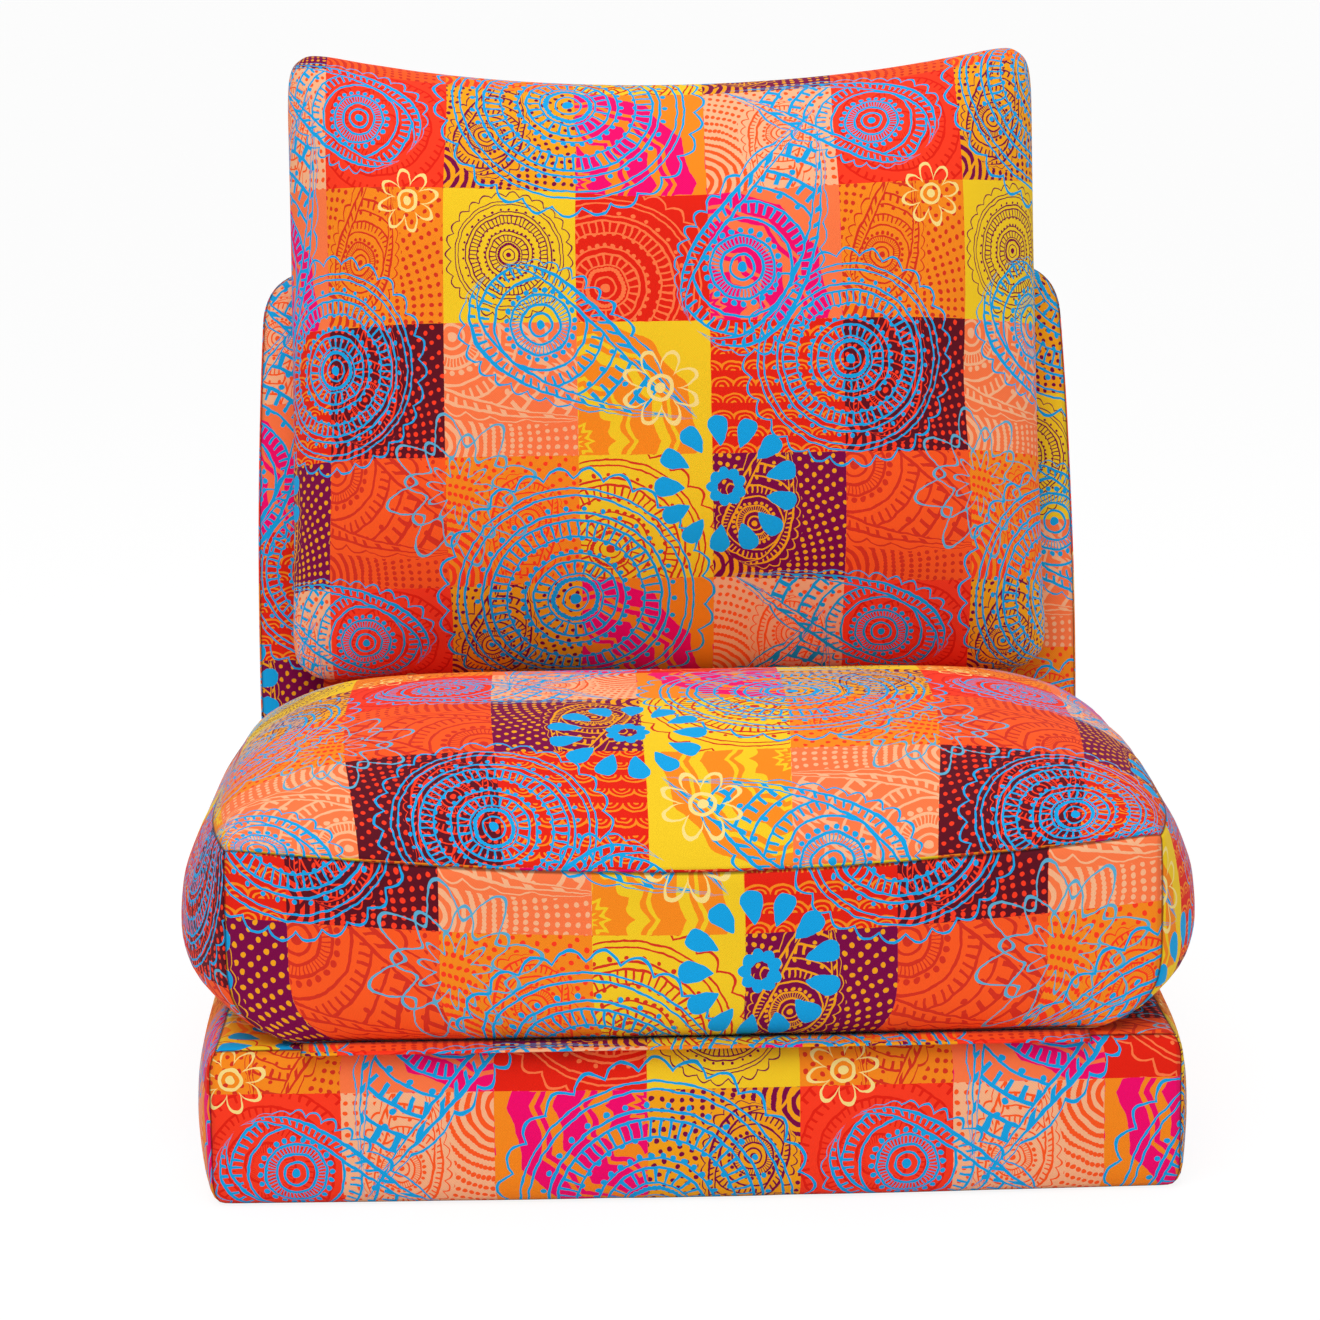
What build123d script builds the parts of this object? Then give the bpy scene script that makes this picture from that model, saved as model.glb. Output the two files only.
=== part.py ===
from build123d import *

import os
from math import atan2, cos, hypot, radians, sin

# Fold-out armchair bed: a base mattress that folds out from under the seat mattress, a back that
# reclines flat on two ratchet hinges, and a loose back pillow. X is the width, the front faces -Y.

# Overall sizes of the three mattress sections
section_length = 640.0
base_half_width = 373.0
base_height = 127.0
base_side_bulge = 37.0
base_front_bulge = 8.0
seat_half_width = 361.0
seat_foot_half_width = 318.0
seat_side_bulge = 56.0
seat_front_bulge = 15.0
seat_seam_height = 277.0
seat_crown_rise = 70.5
seat_crest_setback = 220.0
seat_front_fall = 25.5
seat_rear_fall = 95.5
seat_crown_reach = 190.0
seat_crown_shift = 36.0
back_half_width = 374.0
back_top_half_width = 366.0
back_length = 462.0
back_front_crown = 7.0
back_side_bulge = 5.0
back_top_edge_radius = 30.0
back_top_corner_radius = 48.0
nose_radius = 60.0
back_lean = 15.0

# Pillow
pillow_half_width = 344.0
pillow_half_height = 294.0
pillow_front_crown = 92.0
pillow_rear_crown = 44.0
pillow_front_reach = 215.0
pillow_rear_reach = 96.0
pillow_top_dip = 21.0
pillow_side_dip = 9.0
pillow_corner_radius = 24.0
pillow_plump = 26.0
pillow_foot_cut = 9.0
pillow_lowest_along_back = 55.5

# Soft goods
cover_thickness = 1.2
corner_radius = 14.0
topper_depth = 52.0

# Clearances
soft_gap = 0.3
fold_gap = 2.0
running_gap = 0.06
plate_gap = 0.4
slot_gap = 3.0
overrun = 5.0

# Steel frames
tube_radius = 11.0
tube_wall = 1.5
cross_tube_radius = 9.0
bend_radius = 60.0
hinge_half_spacing = 296.0
seat_frame_front_inset = 62.0
seat_frame_rear_inset = 46.0
seat_cross_tube_inset = 84.0
back_frame_top_inset = 58.0
back_frame_foot = 66.0
back_cross_tube_height = 105.0

# Elastic webbing
strap_width = 50.0
strap_thickness = 2.0
seat_strap_count = 6
seat_strap_pitch = 72.0
back_strap_count = 4
back_strap_pitch = 78.0

# Ratchet hinges
cheek_thickness = 3.0
cheek_head_radius = 48.0
cheek_tail_half_height = 12.0
lug_length = 44.0
lug_half_height = 10.0
lug_overlap = 14.0
lug_rivet_setbacks = (6.0, 18.0)
sector_arm_overlap = 28.0
sector_thickness = 5.0
sector_radius = 30.0
sector_arm_half_width = 8.0
notch_count = 5
notch_pitch = 19.0
notch_depth = 4.5
notch_width = 5.5
pawl_contact_angle = 195.0
pawl_length = 25.0
pawl_half_width = 4.6
pawl_nose_width = 3.2
pawl_lift_gap = 0.4
pivot_radius = 6.0
pin_radius = 3.0
rivet_radius = 3.0
rivet_head_height = 1.6
rivet_head_share = 1.5
rivet_head_taper = 25.0
spring_wire = 1.2
spring_anchor_reach = 60.0
spring_anchor_rise = 6.0
spring_width = 4.0
spring_leg_length = 22.0
spring_leg_angle = -12.0

# Zips
zip_tape_width = 22.0
zip_tape_thickness = 0.8
zip_chain_width = 5.0
zip_chain_thickness = 1.6
zip_end_inset = 66.0
zip_slider_length = 13.0
zip_slider_width = 9.0
zip_slider_wall = 1.4
seat_zip_height = 228.0
base_zip_height = 64.0
back_zip_height = 96.0
pillow_zip_half_length = 225.0
hinge_tape_thickness = 0.8
hinge_tape_rise = 2.4
hinge_tape_reach_gap = 4.0

# Derived places
half_length = section_length / 2
pivot_y = half_length + fold_gap + nose_radius
pivot_z = base_height + nose_radius
fold_axis_setback = (base_front_bulge + seat_front_bulge) / 2 + soft_gap
fold_axis_y = -half_length - fold_axis_setback
lean_sin = sin(radians(back_lean))
lean_cos = cos(radians(back_lean))
foam_inset = cover_thickness + soft_gap
topper_foot = seat_seam_height + seat_crown_rise - topper_depth
seat_tube_end_y = half_length - seat_frame_rear_inset
seat_tube_front_y = seat_frame_front_inset - half_length
seat_cross_y = half_length - seat_cross_tube_inset
seat_strap_middle_y = (seat_tube_front_y + bend_radius + seat_cross_y - tube_radius) / 2
lug_start_y = seat_tube_end_y
cheek_tail_reach = lug_start_y + slot_gap - pivot_y
lug_rivet_reaches = [cheek_tail_reach + setback for setback in lug_rivet_setbacks]
back_tube_top = back_length - back_frame_top_inset
back_strap_foot = back_cross_tube_height + tube_radius + strap_width / 2 + slot_gap
lug_thickness = sector_thickness + 2 * plate_gap
cheek_grip = lug_thickness + 2 * cheek_thickness
pawl_pin_angle = radians(pawl_contact_angle) - atan2(pawl_length, sector_radius + pawl_half_width)
pawl_pin_reach = hypot(pawl_length, sector_radius + pawl_half_width)
pawl_pin_place = (pawl_pin_reach * cos(pawl_pin_angle), pawl_pin_reach * sin(pawl_pin_angle))
pawl_nose_reach = sector_radius + pawl_lift_gap + pawl_nose_width / 2
pawl_nose_place = (pawl_nose_reach * cos(radians(pawl_contact_angle)),
                   pawl_nose_reach * sin(radians(pawl_contact_angle)))
spring_anchor_place = (-spring_anchor_reach, spring_anchor_rise)
stack_half = sector_thickness / 2 + plate_gap + cheek_thickness + rivet_head_height
slot_half_width = stack_half + slot_gap
slot_half_height = cheek_tail_half_height + slot_gap
pillow_stand_off = nose_radius + back_front_crown + 2 * soft_gap + pillow_rear_crown

# Planes: the back's mid-thickness, its side view through the pivot, and the pillow's mid-thickness
pivot = Vector(0, pivot_y, pivot_z)
back_up = Vector(0, lean_sin, lean_cos)
back_normal = Vector(0, -lean_cos, lean_sin)
back_plane = Plane(origin=pivot, x_dir=(1, 0, 0), z_dir=back_normal)
back_side_plane = Plane(origin=pivot, x_dir=back_normal, z_dir=(-1, 0, 0))
pillow_middle = pivot + back_up * (pillow_lowest_along_back + pillow_half_height) + back_normal * pillow_stand_off
pillow_plane = Plane(origin=pillow_middle, x_dir=(1, 0, 0), z_dir=back_normal)

# Height shares and the share of the bulge that each level has
base_level_shares = ((0, 0.35), (0.12, 0.62), (0.4, 0.92), (0.68, 1), (0.9, 0.66), (1, 0.3))
seat_level_shares = ((0, 0.5, 0), (0.1, 0.68, 0.55), (0.27, 0.9, 0.88), (0.52, 1, 1), (0.8, 0.97, 1), (1, 0.84, 0.98))
crown_angles = (0, 28, 52, 72, 90)
pillow_corner_share = 0.1


def sides(half_width, front, rear, side_bulge, front_bulge, rear_bulge, radius):
    """A four-sided outline with bowed sides and rounded corners."""
    corners = ((-half_width, front), (half_width, front), (half_width, rear), (-half_width, rear))
    middle = (front + rear) / 2
    bows = ((0, front - front_bulge), (half_width + side_bulge, middle), (0, rear + rear_bulge),
            (-half_width - side_bulge, middle))
    bulges = (front_bulge, side_bulge, rear_bulge, side_bulge)
    with BuildSketch() as outline:
        with BuildLine():
            for index, bulge in enumerate(bulges):
                start, end = corners[index], corners[(index + 1) % len(corners)]
                if bulge:
                    ThreePointArc(start, bows[index], end)
                else:
                    Line(start, end)
        make_face()
        fillet(outline.vertices(), radius)
    return outline.sketch


def base_block(inset):
    """The base mattress's shape, drawn in by inset on every side."""
    with BuildPart() as block:
        for height_share, bulge_share in base_level_shares:
            height = inset + (base_height - 2 * inset) * height_share
            with BuildSketch(Plane.XY.offset(height)):
                add(sides(base_half_width - inset, inset - half_length, half_length - inset,
                          base_side_bulge * bulge_share, base_front_bulge * bulge_share, 0, corner_radius))
        loft()
    return block.part


def seat_block(inset):
    """The seat mattress's shape: a bulging boxed side below its seam, and a crown that falls to the rear."""
    low = base_height + soft_gap + inset
    seam = seat_seam_height
    crest = seam + seat_crown_rise - inset
    crest_reach = half_length + seat_front_bulge + overrun
    with BuildPart() as block:
        for height_share, bulge_share, width_share in seat_level_shares:
            width = seat_foot_half_width + (seat_half_width - seat_foot_half_width) * width_share - inset
            with BuildSketch(Plane.XY.offset(low + (seam - low) * height_share)):
                add(sides(width, inset - half_length, half_length - inset, seat_side_bulge * bulge_share,
                          seat_front_bulge * width_share + soft_gap, 0, corner_radius))
        loft()
        last_bulge_share = seat_level_shares[-1][1]
        for angle in crown_angles:
            reach = (seat_crown_reach - inset) * (1 - cos(radians(angle)))
            rise = (seat_crown_rise + overrun - inset) * sin(radians(angle))
            shift = seat_crown_shift * sin(radians(angle)) ** 2
            with BuildSketch(Plane.XY.offset(seam + rise)):
                add(sides(seat_half_width - inset - reach, inset - half_length + reach - shift,
                          half_length - inset - reach - shift, seat_side_bulge * last_bulge_share,
                          seat_front_bulge, 0, corner_radius + reach / 2))
        loft()
        with BuildSketch(Plane.YZ):
            with BuildLine():
                ThreePointArc((-crest_reach, crest - seat_front_fall), (seat_crest_setback - half_length, crest),
                              (crest_reach, crest - seat_rear_fall))
                Polyline((crest_reach, crest - seat_rear_fall), (crest_reach, 0), (-crest_reach, 0),
                         (-crest_reach, crest - seat_front_fall))
            make_face()
        extrude(amount=seat_half_width + seat_side_bulge + overrun, both=True, mode=Mode.INTERSECT)
    return block.part


def back_block(inset):
    """The back's shape: a boxed pad whose lower end is rounded about the pivot."""
    radius = nose_radius - inset
    top = back_length - inset
    middle = top / 2
    crest = top + overrun
    foot = back_half_width - inset
    head = back_top_half_width - inset
    belly = (foot + head) / 2 + back_side_bulge
    with BuildPart() as block:
        with BuildSketch(back_side_plane) as profile:
            with BuildLine():
                CenterArc((0, 0), radius, 180, 90)
                CenterArc((0, 0), radius, 270, 90)
                ThreePointArc((radius, 0), (radius + back_front_crown, middle), (radius, top))
                Polyline((radius, top), (-radius, top), (-radius, 0))
            make_face()
            fillet(profile.vertices().group_by(Axis.Y)[-1], back_top_edge_radius - inset)
        extrude(amount=back_half_width + overrun, both=True)
        with BuildSketch(back_plane) as outline:
            with BuildLine():
                Polyline((-foot, 0), (-foot, -radius - overrun), (foot, -radius - overrun), (foot, 0))
                ThreePointArc((foot, 0), (belly, middle), (head, crest))
                Line((head, crest), (-head, crest))
                ThreePointArc((-head, crest), (-belly, middle), (-foot, 0))
            make_face()
            fillet(outline.vertices().group_by(Axis.Y)[-1], back_top_corner_radius - inset)
        extrude(amount=nose_radius + back_front_crown + overrun, both=True, mode=Mode.INTERSECT)
    return block.part


def pillow_block(inset):
    """The pillow's shape: a full front crown, a rear flattened by the back, and a flattened foot."""
    halves = ((1, pillow_front_reach, pillow_front_crown), (-1, pillow_rear_reach, pillow_rear_crown))
    foot_cut = pillow_half_height - pillow_foot_cut - inset
    with BuildPart() as block:
        for side, full_reach, crown in halves:
            for angle in crown_angles:
                bend = sin(radians(angle))
                reach = (full_reach - inset) * (1 - cos(radians(angle))) + inset
                with BuildSketch(pillow_plane.offset(side * (crown - inset) * bend)):
                    add(sides(pillow_half_width - reach, reach - pillow_half_height, pillow_half_height - reach,
                              pillow_plump * bend - pillow_side_dip, 0, pillow_plump * bend - pillow_top_dip,
                              pillow_corner_radius + reach * pillow_corner_share))
            loft()
        split(bisect_by=Plane(origin=pillow_middle - back_up * foot_cut, z_dir=back_up), keep=Keep.TOP)
    return block.part


def hinge_plane(side):
    """The mid-plane of one ratchet hinge, seen with +Y to the right and +Z up."""
    return Plane(origin=(side * hinge_half_spacing, pivot_y, pivot_z), x_dir=(0, 1, 0), z_dir=(1, 0, 0))


def back_hinge_room():
    """What the cheeks sweep in the back's lower end, with the sectors' arms above them."""
    square = slot_half_height + nose_radius + overrun
    with BuildPart() as room:
        for side in (-1, 1):
            with BuildSketch(back_side_plane.offset(side * hinge_half_spacing)):
                Circle(cheek_head_radius + slot_gap)
                with Locations((-slot_half_height, slot_half_height)):
                    Rectangle(square, square, align=(Align.MIN, Align.MAX))
                Rectangle(2 * (sector_arm_half_width + slot_gap), back_frame_foot, align=(Align.CENTER, Align.MIN))
            extrude(amount=slot_half_width, both=True)
    return room.part


def seat_hinge_room():
    """The slits through which the hinges leave the seat's rear face."""
    with BuildPart() as room:
        with Locations((-hinge_half_spacing, lug_start_y, pivot_z), (hinge_half_spacing, lug_start_y, pivot_z)):
            Box(2 * slot_half_width, half_length + overrun - lug_start_y, 2 * slot_half_height,
                align=(Align.CENTER, Align.MIN, Align.CENTER))
    return room.part


def rivet(plane, radius, grip):
    """A rivet centred on a plane: a shank as long as what it holds, with a domed head at each end."""
    with BuildPart() as pin:
        with BuildSketch(plane):
            Circle(radius)
        extrude(amount=grip / 2, both=True)
        for direction in (plane.z_dir, -plane.z_dir):
            with BuildSketch(Plane(origin=plane.origin + direction * (grip / 2), z_dir=direction)):
                Circle(radius * rivet_head_share)
            extrude(amount=rivet_head_height, taper=rivet_head_taper)
    return pin.part


def tube_frame(plane, corners, cross_ends, grow):
    """A bent tube with the thinner straight cross tube that joins its legs, as solid rods widened by grow."""
    with BuildPart() as volume:
        with BuildLine(plane) as path:
            FilletPolyline(*corners, radius=bend_radius)
        with BuildSketch(path.line ^ 0):
            Circle(tube_radius + grow)
        sweep()
        with BuildLine(plane) as cross:
            Line(*cross_ends)
        with BuildSketch(cross.line ^ 0):
            Circle(cross_tube_radius + grow)
        sweep(path=cross.line)
    return volume.part


def strap(plane, grow):
    """A woven strap drawn over both side tubes and round the far side of each, widened by grow."""
    radius = tube_radius + soft_gap + strap_thickness / 2
    with BuildPart() as band:
        with BuildSketch(plane):
            with BuildLine():
                CenterArc((-hinge_half_spacing, 0), radius, 90, 180)
                Line((-hinge_half_spacing, radius), (hinge_half_spacing, radius))
                CenterArc((hinge_half_spacing, 0), radius, -90, 180)
            trace(line_width=strap_thickness + 2 * grow)
        extrude(amount=strap_width / 2 + grow, both=True)
    return band.part


def zip_strip(plane, half_span):
    """A closed zip: its tape and the chain that stands on it."""
    with BuildPart() as strip:
        with BuildSketch(plane):
            Rectangle(2 * half_span, zip_tape_width)
        extrude(amount=zip_tape_thickness)
        with BuildSketch(plane.offset(zip_tape_thickness)):
            Rectangle(2 * half_span, zip_chain_width)
        extrude(amount=zip_chain_thickness)
    return strip.part


def zip_slider(plane, half_span):
    """A slider without a pull tab, parked at one end of its chain and straddling it."""
    foot = plane.offset(zip_tape_thickness + soft_gap)
    with BuildPart() as slider:
        with BuildSketch(foot):
            with Locations((zip_slider_length / 2 - half_span, 0)):
                Rectangle(zip_slider_length, zip_slider_width)
        extrude(amount=zip_chain_thickness + zip_slider_wall)
        with BuildSketch(foot):
            Rectangle(2 * half_span + 2 * overrun, zip_chain_width + 2 * soft_gap)
        extrude(amount=zip_chain_thickness, mode=Mode.SUBTRACT)
    return slider.part


def write(piece, name):
    """Labels one finished piece and writes it to its own file."""
    piece.label = name
    export_step(piece, f"parts/{name}.step")


os.makedirs("parts", exist_ok=True)

# Base mattress: a sewn cover round one block of foam
base_outer = base_block(0)
base_hollow = base_block(cover_thickness)
with BuildPart() as base_cover:
    add(base_outer)
    add(base_hollow, mode=Mode.SUBTRACT)
write(base_cover.part, "base_cover")
write(base_block(foam_inset), "base_foam")

base_zip_plane = Plane(origin=(0, half_length + soft_gap, base_zip_height), x_dir=(1, 0, 0), z_dir=(0, 1, 0))
base_zip_half_span = base_half_width - zip_end_inset
write(zip_strip(base_zip_plane, base_zip_half_span), "base_zip")
write(zip_slider(base_zip_plane, base_zip_half_span), "base_zip_slider")

# Fabric hinge between base and seat: a folded tape whose fold is the folding axis
with BuildPart() as hinge_tape:
    with BuildSketch(Plane(origin=(0, fold_axis_y, base_height), x_dir=(0, 1, 0), z_dir=(1, 0, 0))):
        tape_depth = fold_axis_setback - hinge_tape_reach_gap
        with BuildLine():
            Polyline((tape_depth, hinge_tape_rise), (hinge_tape_thickness, 0), (tape_depth, -hinge_tape_rise))
        trace(line_width=hinge_tape_thickness)
    extrude(amount=seat_foot_half_width - corner_radius, both=True)
write(hinge_tape.part, "front_hinge_tape")

# Seat frame: a bent tube with a cross tube, and a flat lug welded in each rear end
seat_legs = ((-hinge_half_spacing, seat_tube_end_y), (-hinge_half_spacing, seat_tube_front_y),
             (hinge_half_spacing, seat_tube_front_y), (hinge_half_spacing, seat_tube_end_y))
seat_cross = ((-hinge_half_spacing, seat_cross_y), (hinge_half_spacing, seat_cross_y))
seat_frame_plane = Plane.XY.offset(pivot_z)
seat_tube_outer = tube_frame(seat_frame_plane, seat_legs, seat_cross, 0)
seat_tube_bore = tube_frame(seat_frame_plane, seat_legs, seat_cross, -tube_wall)
seat_tube_room = tube_frame(seat_frame_plane, seat_legs, seat_cross, soft_gap)
lug_rivet_places = [(reach, 0) for reach in lug_rivet_reaches]
with BuildPart() as seat_frame:
    add(seat_tube_outer)
    add(seat_tube_bore, mode=Mode.SUBTRACT)
    for side in (-1, 1):
        with BuildSketch(hinge_plane(side)):
            with Locations((lug_start_y - lug_overlap - pivot_y, 0)):
                Rectangle(lug_length, 2 * lug_half_height, align=(Align.MIN, Align.CENTER))
            with Locations(*lug_rivet_places):
                Circle(rivet_radius + running_gap, mode=Mode.SUBTRACT)
        extrude(amount=lug_thickness / 2, both=True)
write(seat_frame.part, "seat_frame")

# Seat webbing: straps across the frame
seat_strap_planes = [Plane(origin=(0, seat_strap_middle_y + (index - (seat_strap_count - 1) / 2) * seat_strap_pitch,
                                   pivot_z), x_dir=(1, 0, 0), z_dir=(0, -1, 0)) for index in range(seat_strap_count)]
seat_straps = [strap(plane, 0) for plane in seat_strap_planes]
seat_strap_rooms = [strap(plane, soft_gap) for plane in seat_strap_planes]
with BuildPart() as seat_webbing:
    add(seat_straps)
write(seat_webbing.part, "seat_webbing")

# Seat mattress: a sewn cover, a lower and an upper foam that hold the frame, and a fibre topper
seat_outer = seat_block(0)
seat_hollow = seat_block(cover_thickness)
seat_core = seat_block(foam_inset)
seat_hinge_slits = seat_hinge_room()
with BuildPart() as seat_cover:
    add(seat_outer)
    add(seat_hollow, mode=Mode.SUBTRACT)
    add(seat_hinge_slits, mode=Mode.SUBTRACT)
write(seat_cover.part, "seat_cover")

with BuildPart() as seat_foam_lower:
    add(seat_core)
    split(bisect_by=seat_frame_plane, keep=Keep.BOTTOM)
    add([seat_tube_room, seat_hinge_slits, *seat_strap_rooms], mode=Mode.SUBTRACT)
write(seat_foam_lower.part, "seat_foam_lower")

with BuildPart() as seat_foam_upper:
    add(seat_core)
    split(bisect_by=seat_frame_plane.offset(soft_gap), keep=Keep.TOP)
    split(bisect_by=Plane.XY.offset(topper_foot), keep=Keep.BOTTOM)
    add([seat_tube_room, seat_hinge_slits, *seat_strap_rooms], mode=Mode.SUBTRACT)
write(seat_foam_upper.part, "seat_foam_upper")

with BuildPart() as seat_topper:
    add(seat_core)
    split(bisect_by=Plane.XY.offset(topper_foot + soft_gap), keep=Keep.TOP)
write(seat_topper.part, "seat_fibre_topper")

seat_zip_plane = Plane(origin=(0, half_length + soft_gap, seat_zip_height), x_dir=(1, 0, 0), z_dir=(0, 1, 0))
seat_zip_half_span = seat_half_width - zip_end_inset
write(zip_strip(seat_zip_plane, seat_zip_half_span), "seat_zip")
write(zip_slider(seat_zip_plane, seat_zip_half_span), "seat_zip_slider")

# Ratchet hinges, left and right: cheeks on the seat, a toothed sector on the back, a sprung pawl
sector_arm_length = back_frame_foot + sector_arm_overlap
frame_rivet_reach = back_frame_foot + sector_arm_overlap / 2
for side, hand in ((-1, "left"), (1, "right")):
    middle = hinge_plane(side)
    pin_places = [(0, 0, pivot_radius), (*pawl_pin_place, pin_radius), (*spring_anchor_place, pin_radius)]
    pin_places += [(*place, rivet_radius) for place in lug_rivet_places]
    with BuildPart() as cheeks:
        for direction in (-1, 1):
            face = Plane(origin=middle.origin + middle.z_dir * direction * (sector_thickness / 2 + plate_gap),
                         x_dir=middle.x_dir, z_dir=middle.z_dir)
            with BuildSketch(face):
                Circle(cheek_head_radius)
                with Locations((cheek_tail_reach, 0)):
                    Rectangle(-cheek_tail_reach, 2 * cheek_tail_half_height, align=(Align.MIN, Align.CENTER))
                for across, up, radius in pin_places:
                    with Locations((across, up)):
                        Circle(radius + running_gap, mode=Mode.SUBTRACT)
            extrude(amount=direction * cheek_thickness)
    write(cheeks.part, f"hinge_cheeks_{hand}")

    with BuildPart() as sector:
        with BuildSketch(middle):
            Circle(sector_radius)
            with PolarLocations(sector_radius, notch_count, start_angle=pawl_contact_angle,
                                angular_range=notch_pitch * notch_count):
                Polygon((-notch_depth, 0), (notch_depth, 0), (notch_depth, -2 * notch_width), align=None,
                        mode=Mode.SUBTRACT)
            Rectangle(2 * sector_arm_half_width, sector_arm_length, rotation=-back_lean,
                      align=(Align.CENTER, Align.MIN))
            Circle(pivot_radius + running_gap, mode=Mode.SUBTRACT)
            with PolarLocations(frame_rivet_reach, 1, start_angle=90 - back_lean):
                Circle(rivet_radius + running_gap, mode=Mode.SUBTRACT)
        extrude(amount=sector_thickness / 2, both=True)
    write(sector.part, f"ratchet_sector_{hand}")

    with BuildPart() as pawl:
        with BuildSketch(middle):
            with BuildLine():
                CenterArc(pawl_pin_place, pawl_half_width, 0, 360)
                CenterArc(pawl_nose_place, pawl_nose_width / 2, 0, 360)
            make_hull()
            with Locations(pawl_pin_place):
                Circle(pin_radius + running_gap, mode=Mode.SUBTRACT)
        extrude(amount=sector_thickness / 2, both=True)
    write(pawl.part, f"pawl_{hand}")

    with BuildPart() as spring:
        with BuildSketch(middle):
            with Locations(spring_anchor_place):
                Circle(pin_radius + running_gap + spring_wire)
                Rectangle(spring_leg_length, spring_wire, rotation=spring_leg_angle, align=(Align.MIN, Align.MAX))
                Circle(pin_radius + running_gap, mode=Mode.SUBTRACT)
        extrude(amount=spring_width / 2, both=True)
    write(spring.part, f"pawl_spring_{hand}")

    write(rivet(middle, pivot_radius, cheek_grip), f"pivot_rivet_{hand}")

cheek_planes = [hinge_plane(side) for side in (-1, 1)]
small_rivets = [rivet(Plane(origin=plane.from_local_coords(Vector(*place)), z_dir=plane.z_dir), rivet_radius, cheek_grip)
                for plane in cheek_planes for place in [*lug_rivet_places, pawl_pin_place, spring_anchor_place]]
with BuildPart() as cheek_rivets:
    add(small_rivets)
write(cheek_rivets.part, "cheek_rivets")

# Back frame: a bent tube with a cross tube, riveted to the sectors' arms inside its lower ends
back_legs = ((-hinge_half_spacing, back_frame_foot), (-hinge_half_spacing, back_tube_top),
             (hinge_half_spacing, back_tube_top), (hinge_half_spacing, back_frame_foot))
back_cross = ((-hinge_half_spacing, back_cross_tube_height), (hinge_half_spacing, back_cross_tube_height))
back_tube_outer = tube_frame(back_plane, back_legs, back_cross, 0)
back_tube_bore = tube_frame(back_plane, back_legs, back_cross, -tube_wall)
back_tube_room = tube_frame(back_plane, back_legs, back_cross, soft_gap)
frame_rivet_planes = [Plane(origin=pivot + back_up * frame_rivet_reach + Vector(side * hinge_half_spacing, 0, 0),
                            z_dir=(1, 0, 0)) for side in (-1, 1)]
with BuildPart() as back_frame:
    add(back_tube_outer)
    add(back_tube_bore, mode=Mode.SUBTRACT)
    with BuildSketch(*frame_rivet_planes):
        Circle(rivet_radius + running_gap)
    extrude(amount=tube_radius + overrun, both=True, mode=Mode.SUBTRACT)
write(back_frame.part, "back_frame")

frame_rivet_pins = [rivet(plane, rivet_radius, 2 * tube_radius) for plane in frame_rivet_planes]
with BuildPart() as frame_rivet_room:
    with BuildSketch(*frame_rivet_planes):
        Circle(rivet_radius * rivet_head_share + soft_gap)
    extrude(amount=tube_radius + rivet_head_height + soft_gap, both=True)
with BuildPart() as back_frame_rivets:
    add(frame_rivet_pins)
write(back_frame_rivets.part, "back_frame_rivets")

# Back webbing
back_strap_planes = [Plane(origin=pivot + back_up * (back_strap_foot + index * back_strap_pitch), x_dir=(1, 0, 0),
                           z_dir=-back_up) for index in range(back_strap_count)]
back_straps = [strap(plane, 0) for plane in back_strap_planes]
back_strap_rooms = [strap(plane, soft_gap) for plane in back_strap_planes]
with BuildPart() as back_webbing:
    add(back_straps)
write(back_webbing.part, "back_webbing")

# Back pad: a sewn cover with slits for the hinges, and a front and a rear foam
back_outer = back_block(0)
back_hollow = back_block(cover_thickness)
back_core = back_block(foam_inset)
back_hinge_slots = back_hinge_room()
with BuildPart() as back_cover:
    add(back_outer)
    add(back_hollow, mode=Mode.SUBTRACT)
    add(back_hinge_slots, mode=Mode.SUBTRACT)
write(back_cover.part, "back_cover")

with BuildPart() as back_foam_front:
    add(back_core)
    split(bisect_by=back_plane.offset(soft_gap), keep=Keep.TOP)
    add([back_tube_room, back_hinge_slots, *back_strap_rooms, frame_rivet_room.part], mode=Mode.SUBTRACT)
write(back_foam_front.part, "back_foam_front")

with BuildPart() as back_foam_rear:
    add(back_core)
    split(bisect_by=back_plane, keep=Keep.BOTTOM)
    add([back_tube_room, back_hinge_slots, *back_strap_rooms, frame_rivet_room.part], mode=Mode.SUBTRACT)
write(back_foam_rear.part, "back_foam_rear")

back_zip_origin = pivot + back_up * back_zip_height - back_normal * (nose_radius + soft_gap)
back_zip_plane = Plane(origin=back_zip_origin, x_dir=(1, 0, 0), z_dir=-back_normal)
back_zip_half_span = back_half_width - zip_end_inset
write(zip_strip(back_zip_plane, back_zip_half_span), "back_zip")
write(zip_slider(back_zip_plane, back_zip_half_span), "back_zip_slider")

# Loose pillow: a sewn cover, its fibre filling, and a zip along the foot
pillow_outer = pillow_block(0)
pillow_hollow = pillow_block(cover_thickness)
with BuildPart() as pillow_cover:
    add(pillow_outer)
    add(pillow_hollow, mode=Mode.SUBTRACT)
write(pillow_cover.part, "pillow_cover")
write(pillow_block(foam_inset), "pillow_filling")

pillow_foot = pillow_middle - back_up * (pillow_half_height - pillow_foot_cut + soft_gap)
pillow_zip_plane = Plane(origin=pillow_foot, x_dir=(1, 0, 0), z_dir=-back_up)
write(zip_strip(pillow_zip_plane, pillow_zip_half_length), "pillow_zip")
write(zip_slider(pillow_zip_plane, pillow_zip_half_length), "pillow_zip_slider")
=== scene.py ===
import math

import bmesh
import bpy
import numpy as np
from mathutils import Matrix, Vector


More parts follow.
